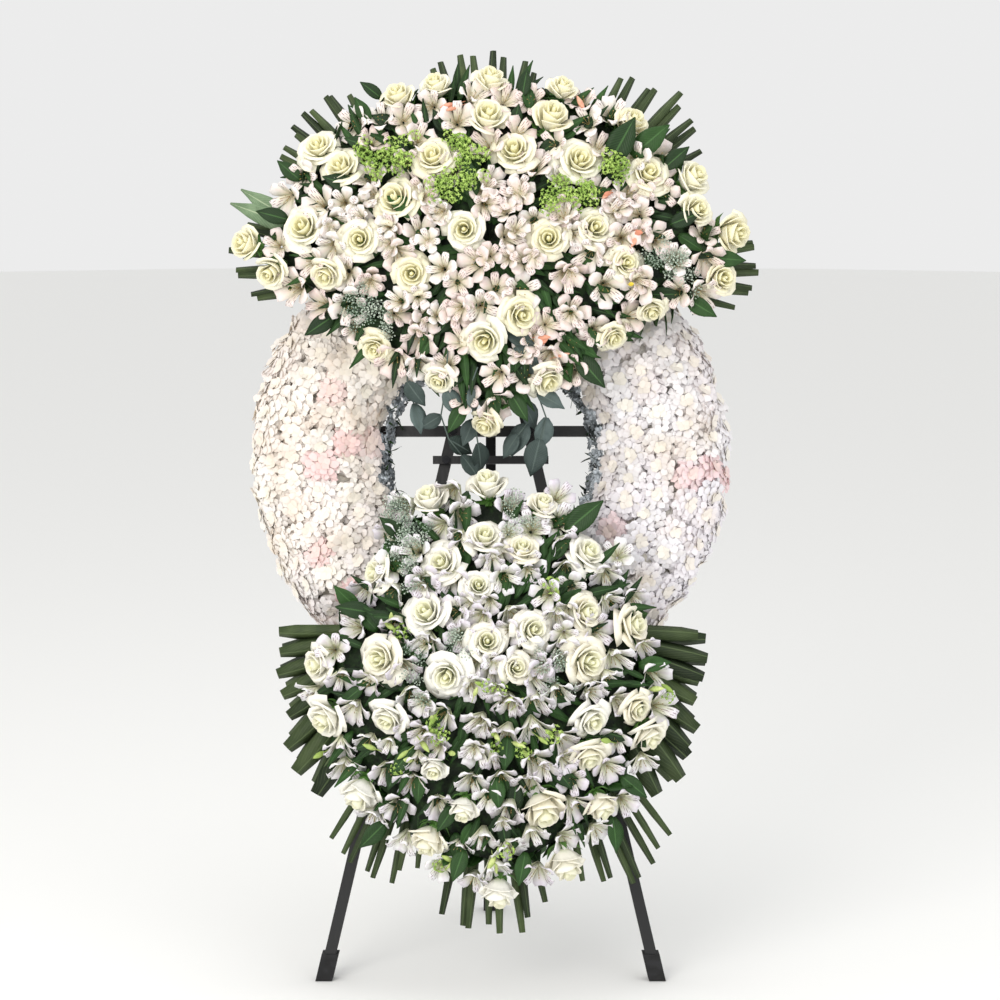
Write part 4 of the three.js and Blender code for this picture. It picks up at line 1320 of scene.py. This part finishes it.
# The flowers of both sprays: roses at the top, at the hanging end, at the sides and below the hole
# show their sides, as cups; places in millimetres
cups = {"above": 1480, "below": 400, "aside": 330, "holeLow": 820, "holeHigh": 900}


def rosePiece(spray):
    seed, finish = spray.given["flowerSeed"], spray.given["roseFinish"]
    groups = {"roseOpen": [], "roseFull": [], "roseTight": []}
    for index, (plant, (x, z, across)) in enumerate(zip(placeRoses(spray, seed), rosesOf[spray.name])):
        sideways = z > cups["above"] or z < cups["below"] or abs(x) > cups["aside"]
        sideways = sideways or cups["holeLow"] < z < cups["holeHigh"]
        groups["roseTight" if sideways else ("roseOpen", "roseFull")[index % 2]].append(plant)
    parts = [
        planted(spray.name + kind, kind, group, finish, spread=0.05, spin=fullTurn, seed=seed)
        for kind, group in groups.items()
    ]
    return joined(spray.name + "Roses", parts)


# heights that the alstroemerias keep to: none before the ring's hole, small ones below the top
bands = {"holeLow": 0.865, "holeHigh": 0.985, "smallBelow": 1.38}


def inView(x, z):
    # the flowers leave the ring's hole open
    return not bands["holeLow"] < z < bands["holeHigh"]


def crowded(x, z):
    return inView(x, z) and z < bands["smallBelow"]


limeAcross = 42


def leafRoom(spray):
    # discs over the broad leaves and the lime filler, which the alstroemerias leave free
    discs = []
    for place in topLime if spray is topSpray else ():
        x, z = photoSpot(*place)
        discs.append((1000 * x, 1000 * z, limeAcross))
    for x, z, pointing, length in leavesOf[spray.name]:
        turn = radians(pointing)
        for reach in (0.4 * length, 0.75 * length):
            discs.append((x + reach * cos(turn), z + reach * sin(turn), 0.5 * length))
    return discs


# full-sized alstroemerias, then small ones nearer the middle; the seed's shifts are for place and turn
alstroKinds = [
    {"among": 1, "apart": 0.042, "clear": 1.2, "size": 0.034, "sunk": 0.006, "shifts": (0, 0)},
    {"among": 3, "apart": 0.032, "clear": 1.15, "size": 0.026, "sunk": 0.002, "shifts": (1, 2)},
]
alstroStand = {"smallLimit": 0.66, "tilt": 0.9, "wander": 0.6, "droopShare": 0.4}


def alstroemeriaPiece(spray):
    seed, finish = spray.given["flowerSeed"], spray.given["alstroFinish"]
    droop = alstroStand["droopShare"] * spray.given["droop"]
    taken = rosesOf[spray.name] + leafRoom(spray)
    limits = ((spray.given["alstroLimit"], inView), (alstroStand["smallLimit"], crowded))
    plants = []
    for kind, (limit, region) in zip(alstroKinds, limits):
        count = spray.given["alstroemerias"] // kind["among"]
        placeSeed, turnSeed = (seed + shift for shift in kind["shifts"])
        points = scattered(spray, count, kind["apart"], placeSeed, limit, taken, kind["clear"], region)
        plants += placeScattered(spray, points, kind["size"], kind["sunk"], turnSeed,
                                 alstroStand["tilt"], alstroStand["wander"], droop)
    Random(seed).shuffle(plants)
    half = len(plants) // 2
    parts = [
        planted(f"{spray.name}Alstro{label}", "alstro" + label, group, finish,
                spread=0.12, spin=fullTurn, seed=seed)
        for label, group in (("Open", plants[:half]), ("Half", plants[half:]))
    ]
    print(spray.name, "alstroemerias", len(plants))
    return joined(spray.name + "Alstroemerias", parts)


for spray in (topSpray, lowerSpray):
    for make in (bedDome, rosePiece, alstroemeriaPiece):
        finished(make(spray), spray.given["slot"], spray.nodes)

for model in models.values():
    bpy.data.objects.remove(model)

# The easel, the foam and the foot caps keep their CAD shapes
keptFinishes = [
    (paintedWood("blackPaintedWood"), ("left_leg", "right_leg", "rear_leg", "wide_crossbar",
                                       "narrow_crossbar", "head_plate")),
    (blackSteel("blackSteel"), ("wide_bolt_left", "wide_bolt_right", "narrow_bolt_left",
                                "narrow_bolt_right", "plate_screw_left", "plate_screw_right",
                                "ring_pin_left", "ring_pin_right", "ring_pin_top", "rear_screw")),
    (footRubber("footRubber"), ("left_leg_foot_cap", "right_leg_foot_cap", "rear_leg_foot_cap")),
    (floralFoam("floralFoam"), ("ring_base", "top_foam", "lower_foam")),
]
for material, nodeNames in keptFinishes:
    for nodeName in nodeNames:
        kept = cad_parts[nodeName].data.materials
        kept.clear()
        kept.append(material)
print("easel and foam finished")

# A pale studio: a round floor that fades into a near-white world, and soft lights
studio = {"floor": "F4F4F2", "radius": 14.0, "sides": 96, "below": 0.0005, "world": 0.84}
lights = {
    "keyLight": {"place": (-2.0, -3.9, 2.7), "aim": (0, 0, 0.85), "size": 2.4, "power": 95,
                 "colour": (1.0, 0.97, 0.93)},
    "fillLight": {"place": (2.6, -3.6, 1.3), "aim": (0, 0, 0.7), "size": 2.8, "power": 30,
                  "colour": (0.93, 0.96, 1.0)},
    "topLight": {"place": (0, -0.4, 4.2), "aim": (0, 0, 0.9), "size": 2.5, "power": 30,
                 "colour": (1, 1, 1)},
}


def makeFloor():
    sides, radius = studio["sides"], studio["radius"]
    turns = [2 * pi * k / sides for k in range(sides)]
    points = [(radius * cos(turn), radius * sin(turn), -studio["below"]) for turn in turns]
    mesh = bpy.data.meshes.new("studioFloor")
    mesh.from_pydata(points, [], [tuple(range(sides))])
    floor = added("studioFloor", mesh)
    mesh.materials.append(Finish("floorPaper").surface(hexColour(studio["floor"]), 0.9))
    floor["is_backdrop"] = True


def makeLight(name, given):
    light = bpy.data.lights.new(name, "AREA")
    light.size = given["size"]
    light.energy = given["power"]
    light.color = given["colour"]
    holder = added(name, light)
    holder.location = given["place"]
    holder.rotation_euler = facing(Vector(given["place"]) - Vector(given["aim"]))


makeFloor()
for lightName, given in lights.items():
    makeLight(lightName, given)
world = bpy.data.worlds.new("studioWorld")
world.use_nodes = True
background = world.node_tree.nodes["Background"]
background.inputs["Color"].default_value = (1, 1, 1, 1)
background.inputs["Strength"].default_value = studio["world"]
bpy.context.scene.world = world
bpy.context.scene.view_settings.view_transform = "Standard"

sizes = {"cad": cadBounds, "dressed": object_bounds()}
{key: [list(corner) for corner in pair] for key, pair in sizes.items()}
